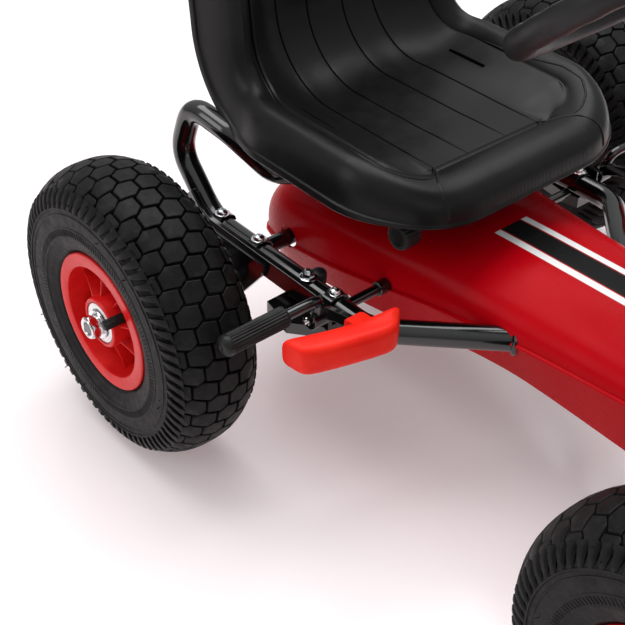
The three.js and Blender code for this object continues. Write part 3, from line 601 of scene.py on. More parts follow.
def tyre_mesh():
    chance = random.Random(7)
    shapes = [carcass()]
    pitch = 2 * math.pi * TYRE_RADIUS / ROWS_ROUND
    for k in range(ROWS_ROUND):
        for centre, half_wide in (EVEN_ROW, ODD_ROW)[k % 2]:
            shapes.append(tread_block(centre, half_wide, pitch * k))
    for side in (-1, 1):
        for k in range(LUGS_ROUND):
            shapes.append(shoulder_lug(side, 2 * math.pi * k / LUGS_ROUND))
        for k in range(150):
            shapes.append(knurl(side, 2 * math.pi * k / 150))
        for k in range(22):
            radius = chance.choice((92.0, 106.0, 114.0))
            shapes.append(moulding_hair(side, chance.uniform(0, 2 * math.pi), radius, chance.uniform(1.5, 4.2)))
    return build_mesh("tyre", *merge(*shapes), tyre_rubber, crease=32.0)


# ------------------------------------------------------------------ rims, bearings and hub nuts
def rim_mesh():
    profile = [
        (34.2, 62.2), (36.4, 62.2), (37.2, 61.4), (37.2, 51.4), (36.6, 50.4), (33.0, 49.8), (9.0, 45.8), (6.0, 44.8),
        (4.4, 42.0), (4.2, 26.5), (5.4, 24.2), (9.0, 23.2), (35.8, 22.6), (37.4, 22.0), (38.0, 20.9), (38.0, 19.4),
        (37.4, 18.6), (27.0, 18.5), (27.0, 9.0), (-27.0, 9.0), (-27.0, 18.5), (-37.4, 18.6), (-38.0, 19.4),
        (-38.0, 21.4), (-36.0, 22.4), (-9.0, 23.2), (-4.4, 26.0), (-4.2, 43.0), (-8.0, 46.0), (-34.0, 56.8),
        (-36.6, 58.0), (-37.2, 60.0), (-37.2, 61.4), (-36.4, 62.2), (-34.2, 62.2), (-33.0, 58.8), (-31.6, 55.8),
        (31.6, 55.8), (33.0, 58.8),
    ]
    shapes = [closed_turned(profile, 96)]
    for k in range(RIM_RIBS):
        angle = math.radians(14) + 2 * math.pi * k / RIM_RIBS
        spin = Matrix.Rotation(angle, 4, "X")
        rings = []
        for radius, top in ((21.5, 31.5), (30.0, 28.5), (40.0, 26.0), (49.0, 25.0)):
            rings.append([(2.0, radius, -1.7), (top - 0.8, radius, -1.0), (top, radius, -0.5),
                          (top, radius, 0.5), (top - 0.8, radius, 1.0), (2.0, radius, 1.7)])
        shapes.append(moved(loft(rings), spin))
    return build_mesh("rim", *merge(*shapes), rim_red)


def bearing_mesh():
    profile = [
        (0.0, 17.9), (0.0, 6.5), (9.6, 6.5), (10.3, 7.0), (10.3, 9.2), (9.7, 9.6), (9.5, 9.8), (9.5, 12.6),
        (9.8, 12.9), (10.4, 13.2), (10.4, 17.0), (9.9, 17.9),
    ]
    return build_mesh("bearing", *closed_turned(profile, 72), zinc)


def hex_ring(across_corners, x, chamfer=1.0):
    ring = []
    for k in range(36):
        angle = math.radians(10 * k)
        corner = math.cos(math.radians(30)) / math.cos(((angle + math.radians(30)) % math.radians(60)) - math.radians(30))
        radius = across_corners * corner
        radius = min(radius, across_corners * chamfer)
        ring.append((x, radius * math.cos(angle), radius * math.sin(angle)))
    return ring


def hub_nut_mesh():
    """A washer, two spacer rings and a self-locking nut, from the bearing's face outward."""
    washer = closed_turned([(0.2, 6.4), (0.2, 12.6), (0.6, 13.0), (1.8, 13.0), (2.2, 12.6), (2.2, 6.4)], 48)
    spacer = closed_turned([(2.3, 6.4), (2.3, 9.2), (2.7, 9.6), (3.6, 9.6), (4.0, 9.2), (4.0, 6.4)], 48)
    body = loft([hex_ring(10.9, 4.1, 0.93), hex_ring(10.9, 4.7, 1.0), hex_ring(10.9, 9.6, 1.0), hex_ring(10.9, 10.3, 0.93)])
    collar = closed_turned([(9.8, 6.2), (9.8, 9.3), (11.4, 9.3), (12.1, 8.7), (12.3, 7.8), (12.0, 7.0), (11.2, 6.2)], 48)
    return build_mesh("hub_nut", *merge(washer, spacer, body, collar), chrome)


def valve_mesh():
    """A rubber valve stem with its cap, along the wheel's axle direction."""
    stem = turned([(-10.0, 0.0), (-10.0, 5.2), (2.0, 4.4), (18.0, 3.8), (21.0, 3.4), (21.0, 0.0)], 24)
    cap = [(21.0, 0.0), (21.0, 4.2), (38.4, 4.2), (39.5, 3.6), (40.0, 2.5), (40.0, 0.0)]
    cap_points, cap_faces = turned(cap, 40)
    ridged = []
    for k, (x, y, z) in enumerate(cap_points):
        swell = 1.0 + (0.05 if (k // len(cap)) % 2 else -0.03)
        ridged.append((x, y * swell, z * swell))
    return build_mesh("valve", *merge(stem, (ridged, cap_faces)), sleeve_rubber)


wheel_meshes = {"tyre": tyre_mesh(), "rim": rim_mesh(), "bearing": bearing_mesh(), "nut": hub_nut_mesh(), "valve": valve_mesh()}
WHEEL_BODIES = {"rear_right": "rear_axle", "rear_left": "wheel_rear_left",
                "front_right": "wheel_front_right", "front_left": "wheel_front_left"}
NUT_BODIES = {"rear_right": "rear_axle", "rear_left": "rear_axle",
              "front_right": "knuckle_right", "front_left": "knuckle_left"}
VALVE_PLACE = (12.0, 32.0, 23.0)


def facing(centre, outward):
    """Moves a wheel part to its wheel; outward is -1 on the kart's right."""
    turn = Matrix.Rotation(math.pi if outward < 0 else 0.0, 4, "Z")
    return Matrix.Translation(Vector(centre) * MM) @ turn


for corner, wheel_body in WHEEL_BODIES.items():
    outward = -1 if corner.endswith("right") else 1
    hub = middle_of(f"tyre_{corner}")
    here = facing(hub, outward)
    show(f"visual_tyre_{corner}", wheel_meshes["tyre"], wheel_body, (f"tyre_{corner}",), here)
    show(f"visual_rim_{corner}", wheel_meshes["rim"], wheel_body, (f"rim_{corner}",), here)
    for place, way in (("outer", 1), ("inner", -1)):
        spot = hub + Vector((outward * way * 27.3, 0, 0))
        show(f"visual_bearing_{place}_{corner}", wheel_meshes["bearing"], wheel_body,
             (f"bearing_{place}_{corner}",), facing(spot, outward * way))
    spot = hub + Vector((outward * 38.0, 0, 0))
    show(f"visual_hub_nut_{corner}", wheel_meshes["nut"], NUT_BODIES[corner], (f"hub_nut_{corner}",),
         facing(spot, outward))
    valve_at = Matrix.Translation(Vector(VALVE_PLACE) * MM)
    show(f"valve_{corner}", wheel_meshes["valve"], wheel_body, (), here @ valve_at)


# ------------------------------------------------------------------ axle and chassis tubes
axle_middle = middle_of("rear_axle")
AXLE_HALF = 315.5
axle_profile = [
    (-AXLE_HALF, 0.0), (-AXLE_HALF, 4.6), (-AXLE_HALF + 1.2, 6.0), (-227.5, 6.0), (-227.0, 7.5),
    (227.0, 7.5), (227.5, 6.0), (AXLE_HALF - 1.2, 6.0), (AXLE_HALF, 4.6), (AXLE_HALF, 0.0),
]
axle_shape = moved(turned(axle_profile, 40), Matrix.Translation((0, axle_middle.y, axle_middle.z)))
show("visual_rear_axle", build_mesh("rear_axle", *axle_shape, black_paint), "rear_axle", ("rear_axle",))


def loop_shape():
    """The side loop: out of the hull, back along the rail line, up over and in to the seat track."""
    path = rounded_path([
        (-RAIL_END_X, BEND_CORNER_Y - (RAIL_X - RAIL_END_X), RAIL_Z),
        (-RAIL_X, BEND_CORNER_Y, RAIL_Z, 38),
        (-RAIL_X, 386, RAIL_Z, 60),
        (-RAIL_X + 4, LOOP_REACH + 2, 196, 30),
        (-RAIL_X + 8, LOOP_REACH - 14, LOOP_TOP_Z + 8, 22),
        (-RAIL_X + 14, 376, LOOP_TOP_Z - 2, 26),
        (-120, 340, 207, 24),
        (-68, 318, 197),
    ])
    return swept(path, TUBE_RADIUS, 32)


def hull_collar():
    """The black ring where a side loop goes into the hull."""
    out = Vector((-1, 1, 0)).normalized()
    start = Vector((-71.0, BEND_CORNER_Y - (RAIL_X - 71.0), RAIL_Z))
    path = [start + out * d for d in (-3.0, -2.4, -0.6, 0.0, 1.2, 1.6)]
    sizes = (12.6, 13.6, 14.0, 13.6, 12.2, 11.0)
    rings = []
    for point, size in zip(path, sizes):
        ring = []
        for k in range(36):
            angle = 2 * math.pi * k / 36
            ring.append(point + (Vector((1, 1, 0)).normalized() * math.cos(angle) + Vector((0, 0, 1)) * math.sin(angle)) * size)
        rings.append(ring)
    return loft(rings)


def dome_bolt(head=5.0, height=3.6):
    """A dome-headed bolt standing on a washer, axis +Z, with a socket in its head."""
    profile = [(0.0, 0.0), (0.0, head + 1.8), (0.9, head + 1.8), (1.1, head), (1.6, head)]
    for k in range(1, 6):
        angle = math.pi / 2 * k / 6
        profile.append((1.6 + height * math.sin(angle), head * math.cos(angle)))
    profile += [(1.5 + height, 1.9), (0.4 + height, 1.8), (0.4 + height, 0.0)]
    shape = turned(profile, 32)
    return moved(shape, Matrix.Rotation(-math.pi / 2, 4, "Y"))


def nut_and_stud():
    """A chrome hexagon nut, axis +Z, with the end of its bolt."""
    body = loft([hex_ring(5.6, 0.0, 0.95), hex_ring(5.6, 0.5), hex_ring(5.6, 3.6), hex_ring(5.6, 4.2, 0.93)])
    stud = turned([(4.0, 0.0), (4.0, 2.9), (6.0, 2.9), (6.6, 2.3), (6.6, 0.0)], 24)
    return moved(merge(body, stud), Matrix.Rotation(-math.pi / 2, 4, "Y"))


def clip(y):
    """A small dark saddle under each bolt, bridging the tube and the flat bar."""
    outline = [(-164.0, 154.0), (-161.0, 158.9), (-157.0, 160.4), (-147.0, 160.4), (-142.5, 157.6), (-140.6, 153.0),
               (-142.3, 152.6), (-144.0, 156.2), (-148.0, 158.6), (-156.0, 158.6), (-160.0, 157.0), (-162.4, 153.4)]
    return plate(outline, y - 6.0, y + 6.0, "XZ")


loop_mesh = loop_shape()
BAR = {"front": 222.0, "top": 163.0, "bottom": 144.0, "inner": -163.0, "outer": -169.0}
bar_outline = [
    (BAR["front"] + 3, BAR["bottom"]), (377, BAR["bottom"]), (394, 153), (408, 170), (397, 181), (386, 170), (370, BAR["top"]),
    (BAR["front"] + 3, BAR["top"]), (BAR["front"], BAR["top"] - 3), (BAR["front"], BAR["bottom"] + 3),
]

for side, sign in SIDES:
    loop_piece = build_mesh(f"loop_{side}", *on_side(loop_mesh, sign), black_paint)
    show(f"visual_side_loop_{side}", loop_piece, "chassis", (f"side_loop_{side}",))
    collar_mesh = build_mesh(f"collar_{side}", *on_side(hull_collar(), sign), black_paint)
    show(f"hull_collar_{side}", collar_mesh, "chassis", ())
    bar_mesh = build_mesh(f"bar_{side}", *on_side(plate(bar_outline, BAR["outer"], BAR["inner"]), sign), black_paint)
    bar = show(f"visual_side_bar_{side}", bar_mesh, "chassis", (f"side_bar_{side}",))
    round_edges(bar, 1.1, 3)
    rod_low, rod_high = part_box(f"cross_rod_{side}")
    rod_y, rod_z = (rod_low.y + rod_high.y) / 2 / MM, (rod_low.z + rod_high.z) / 2 / MM
    rod_shape = merge(
        straight((-141.3, rod_y, rod_z), (-20.4, rod_y, rod_z), 4.5),
        straight((-104.0, rod_y, rod_z), (-92.0, rod_y, rod_z), 6.6),
    )
    rod_mesh = build_mesh(f"rod_{side}", *on_side(rod_shape, sign), black_paint)
    show(f"visual_cross_rod_{side}", rod_mesh, "chassis", (f"cross_rod_{side}",))
    for number, bolt_y in enumerate(BOLT_PLACES):
        at = Matrix.Translation((-RAIL_X, bolt_y, RAIL_Z + TUBE_RADIUS + 1.9))
        bolt_mesh = build_mesh(f"bolt_{side}_{number}", *on_side(moved(dome_bolt(), at), sign), chrome)
        show(f"frame_bolt_{side}_{number}", bolt_mesh, "chassis", ())
        clip_mesh = build_mesh(f"clip_{side}_{number}", *on_side(clip(bolt_y), sign), black_paint)
        round_edges(show(f"frame_clip_{side}_{number}", clip_mesh, "chassis", ()), 0.4)
    at = Matrix.Translation((-RAIL_X - 1.0, RING_BOLT_Y, RAIL_Z + TUBE_RADIUS - 0.4))
    ring_shape = closed_turned([(0.0, 3.2), (0.0, 7.2), (0.7, 7.8), (1.6, 7.6), (2.2, 6.4), (2.0, 3.2)], 40)
    ring_shape = moved(ring_shape, at @ Matrix.Rotation(-math.pi / 2, 4, "Y"))
    ring_shape = merge(ring_shape, moved(nut_and_stud(), at @ Matrix.Translation((0, 0, 1.6))))
    show(f"ring_bolt_{side}", build_mesh(f"ring_bolt_{side}", *on_side(ring_shape, sign), chrome), "chassis", ())
    cap_at = Matrix.Translation((-RAIL_X + 11.5, RING_BOLT_Y + 1.0, RAIL_Z + 6.0))
    cap_profile = [(-6.0, 0.0), (-6.0, 6.8), (2.0, 7.0), (4.4, 6.2), (5.8, 4.2), (6.4, 0.0)]
    cap_shape = moved(turned(cap_profile, 32), cap_at @ Matrix.Rotation(-math.pi / 2, 4, "Y"))
    show(f"round_cap_{side}", build_mesh(f"round_cap_{side}", *on_side(cap_shape, sign), moulded_black), "chassis",
         ())


# ------------------------------------------------------------------ hull
# Y, half width at the ledge, its height, top height, half width of the skirt's edge, its height, boxiness.
HULL_STATIONS = (
    (412, 40, 112, 132, 30, 90, 0.80), (404, 72, 112, 148, 58, 82, 0.70), (385, 94, 116, 166, 78, 82, 0.55),
    (350, 104, 123, 176, 88, 88, 0.45), (300, 104, 130, 180, 90, 96, 0.42), (235, 97, 137, 182, 84, 100, 0.50),
    (170, 88, 145, 190, 70, 103, 0.75), (86, 80, 152, 193, 60, 104, 0.90), (-22, 76, 160, 196, 59, 101, 0.95),
    (-130, 70, 166, 206, 56, 96, 0.95), (-193, 62, 168, 214, 52, 96, 0.90), (-236, 48, 168, 222, 44, 100, 0.42),
    (-400, 47, 164, 219, 43, 96, 0.42), (-436, 38, 156, 200, 34, 97, 0.60), (-449, 24, 144, 176, 20, 106, 0.80),
)
HULL_WALL = 2.6
LEDGE = 2.6
ARCH_STEPS = 16


def hull_half_section(y, inset):
    """From the skirt's lower edge up over the ledge to the middle of the top, on the kart's right."""
    ledge_x, ledge_z, top_z, skirt_x, skirt_z, boxy = smooth_between(HULL_STATIONS, y)
    wide = max(ledge_x - inset, 4.0)
    low = max(skirt_x - inset, 3.0)
    points = [(-low, y, skirt_z)]
    for share in (0.25, 0.5, 0.75):
        points.append((-(low + (wide - LEDGE - low) * share), y, skirt_z + (ledge_z - 4.5 - skirt_z) * share))
    points += [(-(wide - LEDGE), y, ledge_z - 4.5), (-(wide - 0.5), y, ledge_z - 3.0), (-wide, y, ledge_z - 1.6),
               (-(wide - 0.4), y, ledge_z - 0.4), (-(wide - 1.2), y, ledge_z)]
    arch = wide - LEDGE
    for k in range(ARCH_STEPS + 1):
        angle = math.pi / 2 * k / ARCH_STEPS
        x = arch * math.cos(angle) ** boxy
        z = ledge_z + 0.4 + (top_z - inset - ledge_z - 0.4) * math.sin(angle) ** boxy
        points.append((-x, y, z))
    return points


def hull_shape():
    """An open shell: the outer skin, the inner skin, and a lip joining them along the lower edge."""
    places = []
    stations = [s[0] for s in HULL_STATIONS]
    for here, following in zip(stations, stations[1:]):
        steps = max(2, round((here - following) / 9.0))
        places += [here + (following - here) * k / steps for k in range(steps)]
    places.append(stations[-1])
    outer, inner = [], []
    for y in places:
        right = hull_half_section(y, 0.0)
        outer.append(right + [(-x, py, z) for x, py, z in reversed(right[:-1])])
        squeezed = min(max(y, stations[-1] + 4.0), stations[0] - 4.0)
        right = hull_half_section(squeezed, HULL_WALL)
        inner.append(right + [(-x, py, z) for x, py, z in reversed(right[:-1])])
    count = len(outer[0])
    points = [p for ring in outer + inner for p in ring]
    faces = []
    half = len(outer) * count
    for k in range(len(outer) - 1):
        for i in range(count - 1):
            a, b = k * count + i, (k + 1) * count + i
            faces.append((a, a + 1, b + 1, b))
            faces.append((half + a, half + b, half + b + 1, half + a + 1))
        for edge in (0, count - 1):
            a, b = k * count + edge, (k + 1) * count + edge
            faces.append((a, b, half + b, half + a))
    for k in (0, len(outer) - 1):
        faces.append(tuple(k * count + i for i in range(count)))
        faces.append(tuple(half + k * count + i for i in range(count)))
    return points, faces


hull = show("visual_hull", build_mesh("hull", *hull_shape(), hull_red, crease=28.0), "chassis", ("hull",))


def rounded_box(low, high, radius, axis="Z", steps=5):
    """A box whose edges along one axis are rounded."""
    order = {"Z": (0, 1, 2), "X": (1, 2, 0), "Y": (0, 2, 1)}[axis]
    u0, u1 = low[order[0]] + radius, high[order[0]] - radius
    v0, v1 = low[order[1]] + radius, high[order[1]] - radius
    outline = []
    for cu, cv, start in ((u1, v1, 0), (u0, v1, 90), (u0, v0, 180), (u1, v0, 270)):
        for k in range(steps + 1):
            angle = math.radians(start + 90 * k / steps)
            outline.append((cu + radius * math.cos(angle), cv + radius * math.sin(angle)))
    return plate(outline, low[order[2]], high[order[2]], {"Z": "XY", "X": "YZ", "Y": "XZ"}[axis])


def cut_away(piece, *shapes):
    """Cuts shapes out of a piece for good."""
    for number, shape in enumerate(shapes):
        cutter = bpy.data.objects.new("cutter", build_mesh("cutter", *shape, black_paint))
        bpy.context.scene.collection.objects.link(cutter)
        modifier = piece.modifiers.new(f"cut_{number}", "BOOLEAN")
        modifier.operation = "DIFFERENCE"
        modifier.solver = "EXACT"
        modifier.object = cutter
        bpy.context.view_layer.update()
        graph = bpy.context.evaluated_depsgraph_get()
        result = bpy.data.meshes.new_from_object(piece.evaluated_get(graph))
        piece.modifiers.clear()
        piece.data = result
        bpy.data.objects.remove(cutter)
    piece.data.set_sharp_from_angle(angle=math.radians(30))


crank_low, crank_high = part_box("crank_housing")
crank_y = (crank_low.y + crank_high.y) / 2 / MM
crank_z = 165.0
cut_away(
    hull,
    rounded_box((-17, -186, 176), (17, -108, 250), 16.9),
    rounded_box((-140, -208, 84), (140, -178, 154), 6, "X"),
    rounded_box((-140, -173, 139), (140, -138, 184), 8, "X"),
    straight((-90, crank_y, crank_z), (90, crank_y, crank_z), 16, 40),
    straight((-140, axle_middle.y, axle_middle.z), (140, axle_middle.y, axle_middle.z), 11, 32),
)


# ------------------------------------------------------------------ seat
# The seat is laid out flat first: x across and s along its middle line, from the front edge to the top of
# the back. Rings follow its rounded outline inward; each ring is (distance from the outline, height above the cushion).
SIDE_RINGS = (
    (4.0, -13.8), (2.0, -14.4), (0.8, -14.2), (0.0, -13.0), (0.0, -8.6), (0.5, -7.4), (2.4, -6.8), (3.0, -5.2),
    (3.8, -0.4), (5.2, 6.0), (7.6, 13.0), (10.8, 19.0), (14.8, 23.6), (19.4, 26.0), (24.4, 26.0), (29.4, 23.8),
    (33.6, 20.6), (36.6, 18.0), (37.8, 16.2), (38.9, 16.2), (40.0, 17.4), (42.4, 17.6), (50.0, 13.6), (64.0, 6.2),
    (84.0, 1.4),
)
FRONT_RINGS = (
    (5.0, -19.6), (3.0, -20.2), (1.6, -20.4), (0.5, -19.8), (0.0, -18.6), (0.2, -17.4), (0.8, -16.4), (1.1, -14.0),
    (1.4, -10.6), (2.1, -6.8), (3.4, -3.0), (5.8, 0.6), (9.4, 3.8), (14.4, 6.6), (20.4, 8.4), (27.0, 9.2),
    (33.0, 8.8), (39.0, 7.4), (44.0, 5.4), (48.0, 3.2), (51.4, 0.8), (53.0, -0.8), (54.2, -0.6), (56.4, 1.0),
    (84.0, 0.9),
)
TOP_RINGS = (
    (6.0, -20.0), (3.6, -19.0), (1.6, -17.0), (0.6, -14.6), (0.1, -12.0), (0.0, -9.4), (0.2, -6.8), (0.8, -4.2),
    (1.8, -1.6), (3.6, 1.0), (6.2, 3.4), (9.6, 5.2), (14.0, 6.2), (19.0, 6.4), (24.0, 6.0), (29.0, 5.0),
    (33.0, 3.8), (36.4, 2.6), (40.4, 1.6), (44.0, 0.8), (48.6, 0.2), (52.2, -0.1), (56.0, -0.1), (66.0, 0.0),
    (84.0, 0.0),
)
SEAT_GROOVES = (-61.0, -22.5, 22.5, 61.0)
SEAT_GROOVE_DEPTH = 1.5
LIP_TOP = -5.0           # the shell's lower lip rises toward this height round the front corners
LIP_RISE = 0.2
PAN_HALF = SEAT_HALF_WIDTH - SEAT_CORNER
pan_run = SEAT_BEND_Y - SEAT_FRONT_Y
bend_run = SEAT_BEND_RADIUS * SEAT_BACK_TILT
SEAT_LENGTH = pan_run + bend_run + SEAT_BACK_LENGTH
CORNER_STEPS = 14


def seat_spine(s):
    """The seat's middle line at s: its place, and the direction standing out of the cushion there."""
    if s <= pan_run:
        return Vector((0, SEAT_FRONT_Y + s, SEAT_PAN_Z)), Vector((0, 0, 1))
    centre = Vector((0, SEAT_BEND_Y, SEAT_PAN_Z + SEAT_BEND_RADIUS))
    angle = min((s - pan_run) / SEAT_BEND_RADIUS, SEAT_BACK_TILT)
    out = Vector((0, -math.sin(angle), math.cos(angle)))
    place = centre - out * SEAT_BEND_RADIUS
    beyond = s - pan_run - bend_run
    if beyond > 0:
        place += Vector((0, math.cos(angle), math.sin(angle))) * beyond
    return place, out


def seat_width_share(s):
    """The seat tapers up its back."""
    return smooth_between(((0, 1.0), (pan_run - 15, 1.0), (pan_run + 32, 0.935), (pan_run + bend_run, 0.90),
                           (SEAT_LENGTH - 120, 0.88), (SEAT_LENGTH, 0.79)), s)[0]


def wing_share(s):
    """How far the side bolsters stand out, against their height beside the hips."""
    return smooth_between(((0, 1.0), (pan_run, 1.08), (pan_run + bend_run, 1.5), (SEAT_LENGTH - 150, 1.35),
                           (SEAT_LENGTH - 60, 0.7), (SEAT_LENGTH, 0.5)), s)[0]


def seat_point(x, s, height):
    place, out = seat_spine(s)
    return place + Vector((x * seat_width_share(s), 0, 0)) + out * height


def seat_columns():
    """Places across the pan: even steps, with close pairs at each groove."""
    places = [-PAN_HALF + 2 * PAN_HALF * k / 22 for k in range(23)]
    for groove in SEAT_GROOVES:
        places = [p for p in places if abs(p - groove) > 3.4]
        places += [groove + d for d in (-2.6, -1.1, -0.5, 0.5, 1.1, 2.6)]
    return sorted(places)


def seat_rows():
    first, last = SEAT_CORNER, SEAT_LENGTH - SEAT_CORNER
    count = 52
    return [first + (last - first) * k / count for k in range(count + 1)]


def groove_dip(x, s):
    """Lengthwise grooves, fading out before the front roll and the top of the back."""
    dip = 0.0
    for groove in SEAT_GROOVES:
        away = abs(x - groove)
        if away < 2.0:
            dip = max(dip, 1.0 - smoothstep(away, 0.5, 1.2))
    return dip * SEAT_GROOVE_DEPTH * (1.0 - smoothstep(s, SEAT_LENGTH - 90, SEAT_LENGTH - 70))


def seat_grid_height(x, s):
    """Height of the cushion inside the innermost ring."""
    rise = 1.4 * wing_share(s) * smoothstep(abs(x), 40.0, PAN_HALF + 2.0)
    rise *= smoothstep(s, SEAT_CORNER - 10.0, SEAT_CORNER + 40.0)
    rise *= 1.0 - smoothstep(s, SEAT_LENGTH - 130.0, SEAT_LENGTH - 50.0)
    front = 0.9 * (1.0 - smoothstep(s, SEAT_CORNER, SEAT_CORNER + 30.0))
    lumbar = 5.0 * math.exp(-(((s - pan_run - bend_run - 40.0) / 55.0) ** 2)) * (1.0 - (x / PAN_HALF) ** 2)
    return rise + front + lumbar - groove_dip(x, s)


def ring_point(level, x, s, front, top):
    """A point of ring number level; x and s lie on the innermost outline, front and top say how far round."""
    shares = (1.0 - front - top, front, top)
    distance = sum(w * rings[level][0] for w, rings in zip(shares, (SIDE_RINGS, FRONT_RINGS, TOP_RINGS)))
    side_height = SIDE_RINGS[level][1]
    if side_height > 0:
        side_height *= wing_share(s)
    height = shares[0] * side_height + front * FRONT_RINGS[level][1] + top * TOP_RINGS[level][1]
    corner = 4.0 * shares[0] * front
    if height < LIP_TOP:
        height = LIP_TOP + (height - LIP_TOP) * (1.0 - LIP_RISE * corner)
    return distance, height


def seat_outline():
    """Stops round the inner outline: (x, s, direction outward, share of front, share of top)."""
    stops = []
    low, high = SEAT_CORNER, SEAT_LENGTH - SEAT_CORNER
    for x in seat_columns():
        stops.append((x, low, (0.0, -1.0), 1.0, 0.0))
    for k in range(1, CORNER_STEPS):
        angle = math.pi / 2 * k / CORNER_STEPS
        front = 1.0 - smoothstep(k / CORNER_STEPS, 0.0, 1.0)
        stops.append((PAN_HALF, low, (math.sin(angle), -math.cos(angle)), front, 0.0))
    for s in seat_rows():
        stops.append((PAN_HALF, s, (1.0, 0.0), 0.0, 0.0))
    for k in range(1, CORNER_STEPS):
        angle = math.pi / 2 * k / CORNER_STEPS
        top = smoothstep(k / CORNER_STEPS, 0.0, 1.0)
        stops.append((PAN_HALF, high, (math.cos(angle), math.sin(angle)), 0.0, top))
    half = [stop for stop in stops if stop[0] > 0 or stop[1] > low]
    for x in reversed(seat_columns()):
        stops.append((x, high, (0.0, 1.0), 0.0, 1.0))
    for x, s, (dx, ds), front, top in reversed(half):
        if x == PAN_HALF and not (front == 1.0):
            stops.append((-x, s, (-dx, ds), front, top))
    return stops


def seat_surface(level, stop):
    x, s, (dx, ds), front, top = stop
    distance, height = ring_point(level, x, s, front, top)
    reach = SEAT_CORNER - distance
    return seat_point(x + dx * reach, s + ds * reach, height)


def seat_shape():
    stops = seat_outline()
    count = len(stops)
    points, faces = [], []
    levels = len(SIDE_RINGS)
    for level in range(levels - 1):
        points.extend(seat_surface(level, stop) for stop in stops)
    for level in range(levels - 2):
        for i in range(count):
            j = (i + 1) % count
            faces.append((level * count + i, level * count + j, (level + 1) * count + j, (level + 1) * count + i))
    # the cushion's middle: a grid whose border is the innermost ring
    columns, rows = seat_columns(), seat_rows()
    start = len(points)
    for s in rows:
        points.extend(seat_point(x, s, seat_grid_height(x, s)) for x in columns)
    wide = len(columns)
    for r in range(len(rows) - 1):
        for c in range(wide - 1):
            a = start + r * wide + c
            faces.append((a, a + 1, a + 1 + wide, a + wide))
    border = {}
    for r, s in enumerate(rows):
        for c, x in enumerate(columns):
            if r in (0, len(rows) - 1) or c in (0, wide - 1):
                border[(round(x, 3), round(s, 3))] = start + r * wide + c
    inner = [border[(round(x, 3), round(s, 3))] for x, s, _, _, _ in stops]
    outer = (levels - 2) * count
    for i in range(count):
        j = (i + 1) % count
        if inner[i] == inner[j]:
            faces.append((outer + i, outer + j, inner[i]))
        else:
            faces.append((outer + i, outer + j, inner[j], inner[i]))
    # the underside: one flat-bottomed sheet that closes the shell
    under = len(points)
    for s in rows:
        points.extend(seat_point(x, s, -SEAT_THICKNESS + 0.6) for x in columns)
    for r in range(len(rows) - 1):
        for c in range(wide - 1):
            a = under + r * wide + c
            faces.append((a + wide, a + 1 + wide, a + 1, a))
    shift = under - start
    for i in range(count):
        j = (i + 1) % count
        if inner[i] == inner[j]:
            faces.append((j, i, inner[i] + shift))
        else:
            faces.append((j, i, inner[i] + shift, inner[j] + shift))
    return points, faces


seat = show("visual_seat", build_mesh("seat", *seat_shape(), seat_plastic, crease=60.0), "seat", ("seat",))


# ------------------------------------------------------------------ seat details and knob
# Raised lines laid on the seat's skin: the piping along each bolster and the seam round each front corner.
PIPING = ((-113.0, 322.0), (-113.5, 290.0), (-117.0, 259.0), (-121.0, 232.0), (-119.0, 208.0), (-108.0, 193.0),
          (-92.0, 184.0), (-78.0, 186.0))
CORNER_SEAM = ((-61.0, 208.0), (-67.0, 197.0), (-76.0, 188.0), (-84.0, 179.0), (-90.0, 168.0), (-92.0, 163.0))
SEAM_DROP = (252.0, 248.0, 244.0, 240.0, 237.0)


def line_on_seat(places, radius, sink, drop=()):
    """A round bead that follows the seat's upper skin through these places."""
    path = rounded_path([(x, y, 0.0) if k in (0, len(places) - 1) else (x, y, 0.0, 14.0)
                         for k, (x, y) in enumerate(places)], 3.0)
    raised = []
    for point in path:
        hit, spot, _, _ = seat.ray_cast(Vector((point[0], point[1], 400.0)) * MM, Vector((0, 0, -1)))
        if hit:
            raised.append(spot / MM - Vector((0, 0, sink)))
    for height in drop:
        hit, spot, _, _ = seat.ray_cast(Vector((places[-1][0], 100.0, height)) * MM, Vector((0, 1, 0)))
        if hit:
            raised.append(spot / MM + Vector((0, sink, 0)))
    return swept(raised, lambda share: radius * (0.35 if share in (0.0, 1.0) else 1.0), 12)


for side, sign in SIDES:
    for name, places, radius, drop in (("piping", PIPING, 1.1, ()), ("corner_seam", CORNER_SEAM, 1.3, SEAM_DROP)):
        line = line_on_seat(places, radius, 0.35, drop)
        bead = build_mesh(f"{name}_{side}", *on_side(line, sign), seat_plastic, crease=80.0)
        show(f"seat_{name}_{side}", bead, "seat", ())
for side, sign in SIDES:
    slot_shape = plate([(-94.0, 296.0), (-92.0, 340.0), (-88.4, 340.0), (-88.8, 296.0)], 250.0, 259.6, "XY")
    cut_away(seat, on_side(slot_shape, sign))
    # Painted shade: a dark sheet on the bottom of each slot stands in for the shadow inside it.
    slot_shade_sheet = plate([(-94.4, 295.6), (-92.4, 340.4), (-88.0, 340.4), (-88.4, 295.6)], 249.4, 251.6, "XY")
    slot_mesh = build_mesh(f"seat_slot_{side}", *on_side(slot_shade_sheet, sign), slot_shade_paint)
    show(f"seat_slot_{side}", slot_mesh, "seat", ())


def knob_shape():
    """The adjuster knob: a round head with a raised rim, its flank cut by finger grooves, on a plain stem."""
    profile = [
        (-106.4, 0.0), (-106.6, 5.0), (-107.4, 7.0), (-109.2, 7.8), (-110.0, 8.8), (-110.0, 9.8), (-109.0, 11.2),
        (-107.0, 12.0), (-94.6, 12.0), (-92.6, 11.2), (-91.4, 9.0), (-90.6, 5.2), (-80.0, 4.0), (-34.0, 4.0), (-34.0, 0.0),
    ]
    points, faces = turned(profile, 96)
    cut = []
    for k, (x, y, z) in enumerate(points):
        turn_share = (k // len(profile)) / 96
        outer = 1.0 if math.hypot(y, z) > 11.0 else 0.0
        dip = 1.0 - 0.05 * outer * max(0.0, math.cos(2 * math.pi * 16 * turn_share)) ** 2
        cut.append((x, y * dip, z * dip))
    return moved((cut, faces), Matrix.Translation((0.0, 195.0, 210.0)))


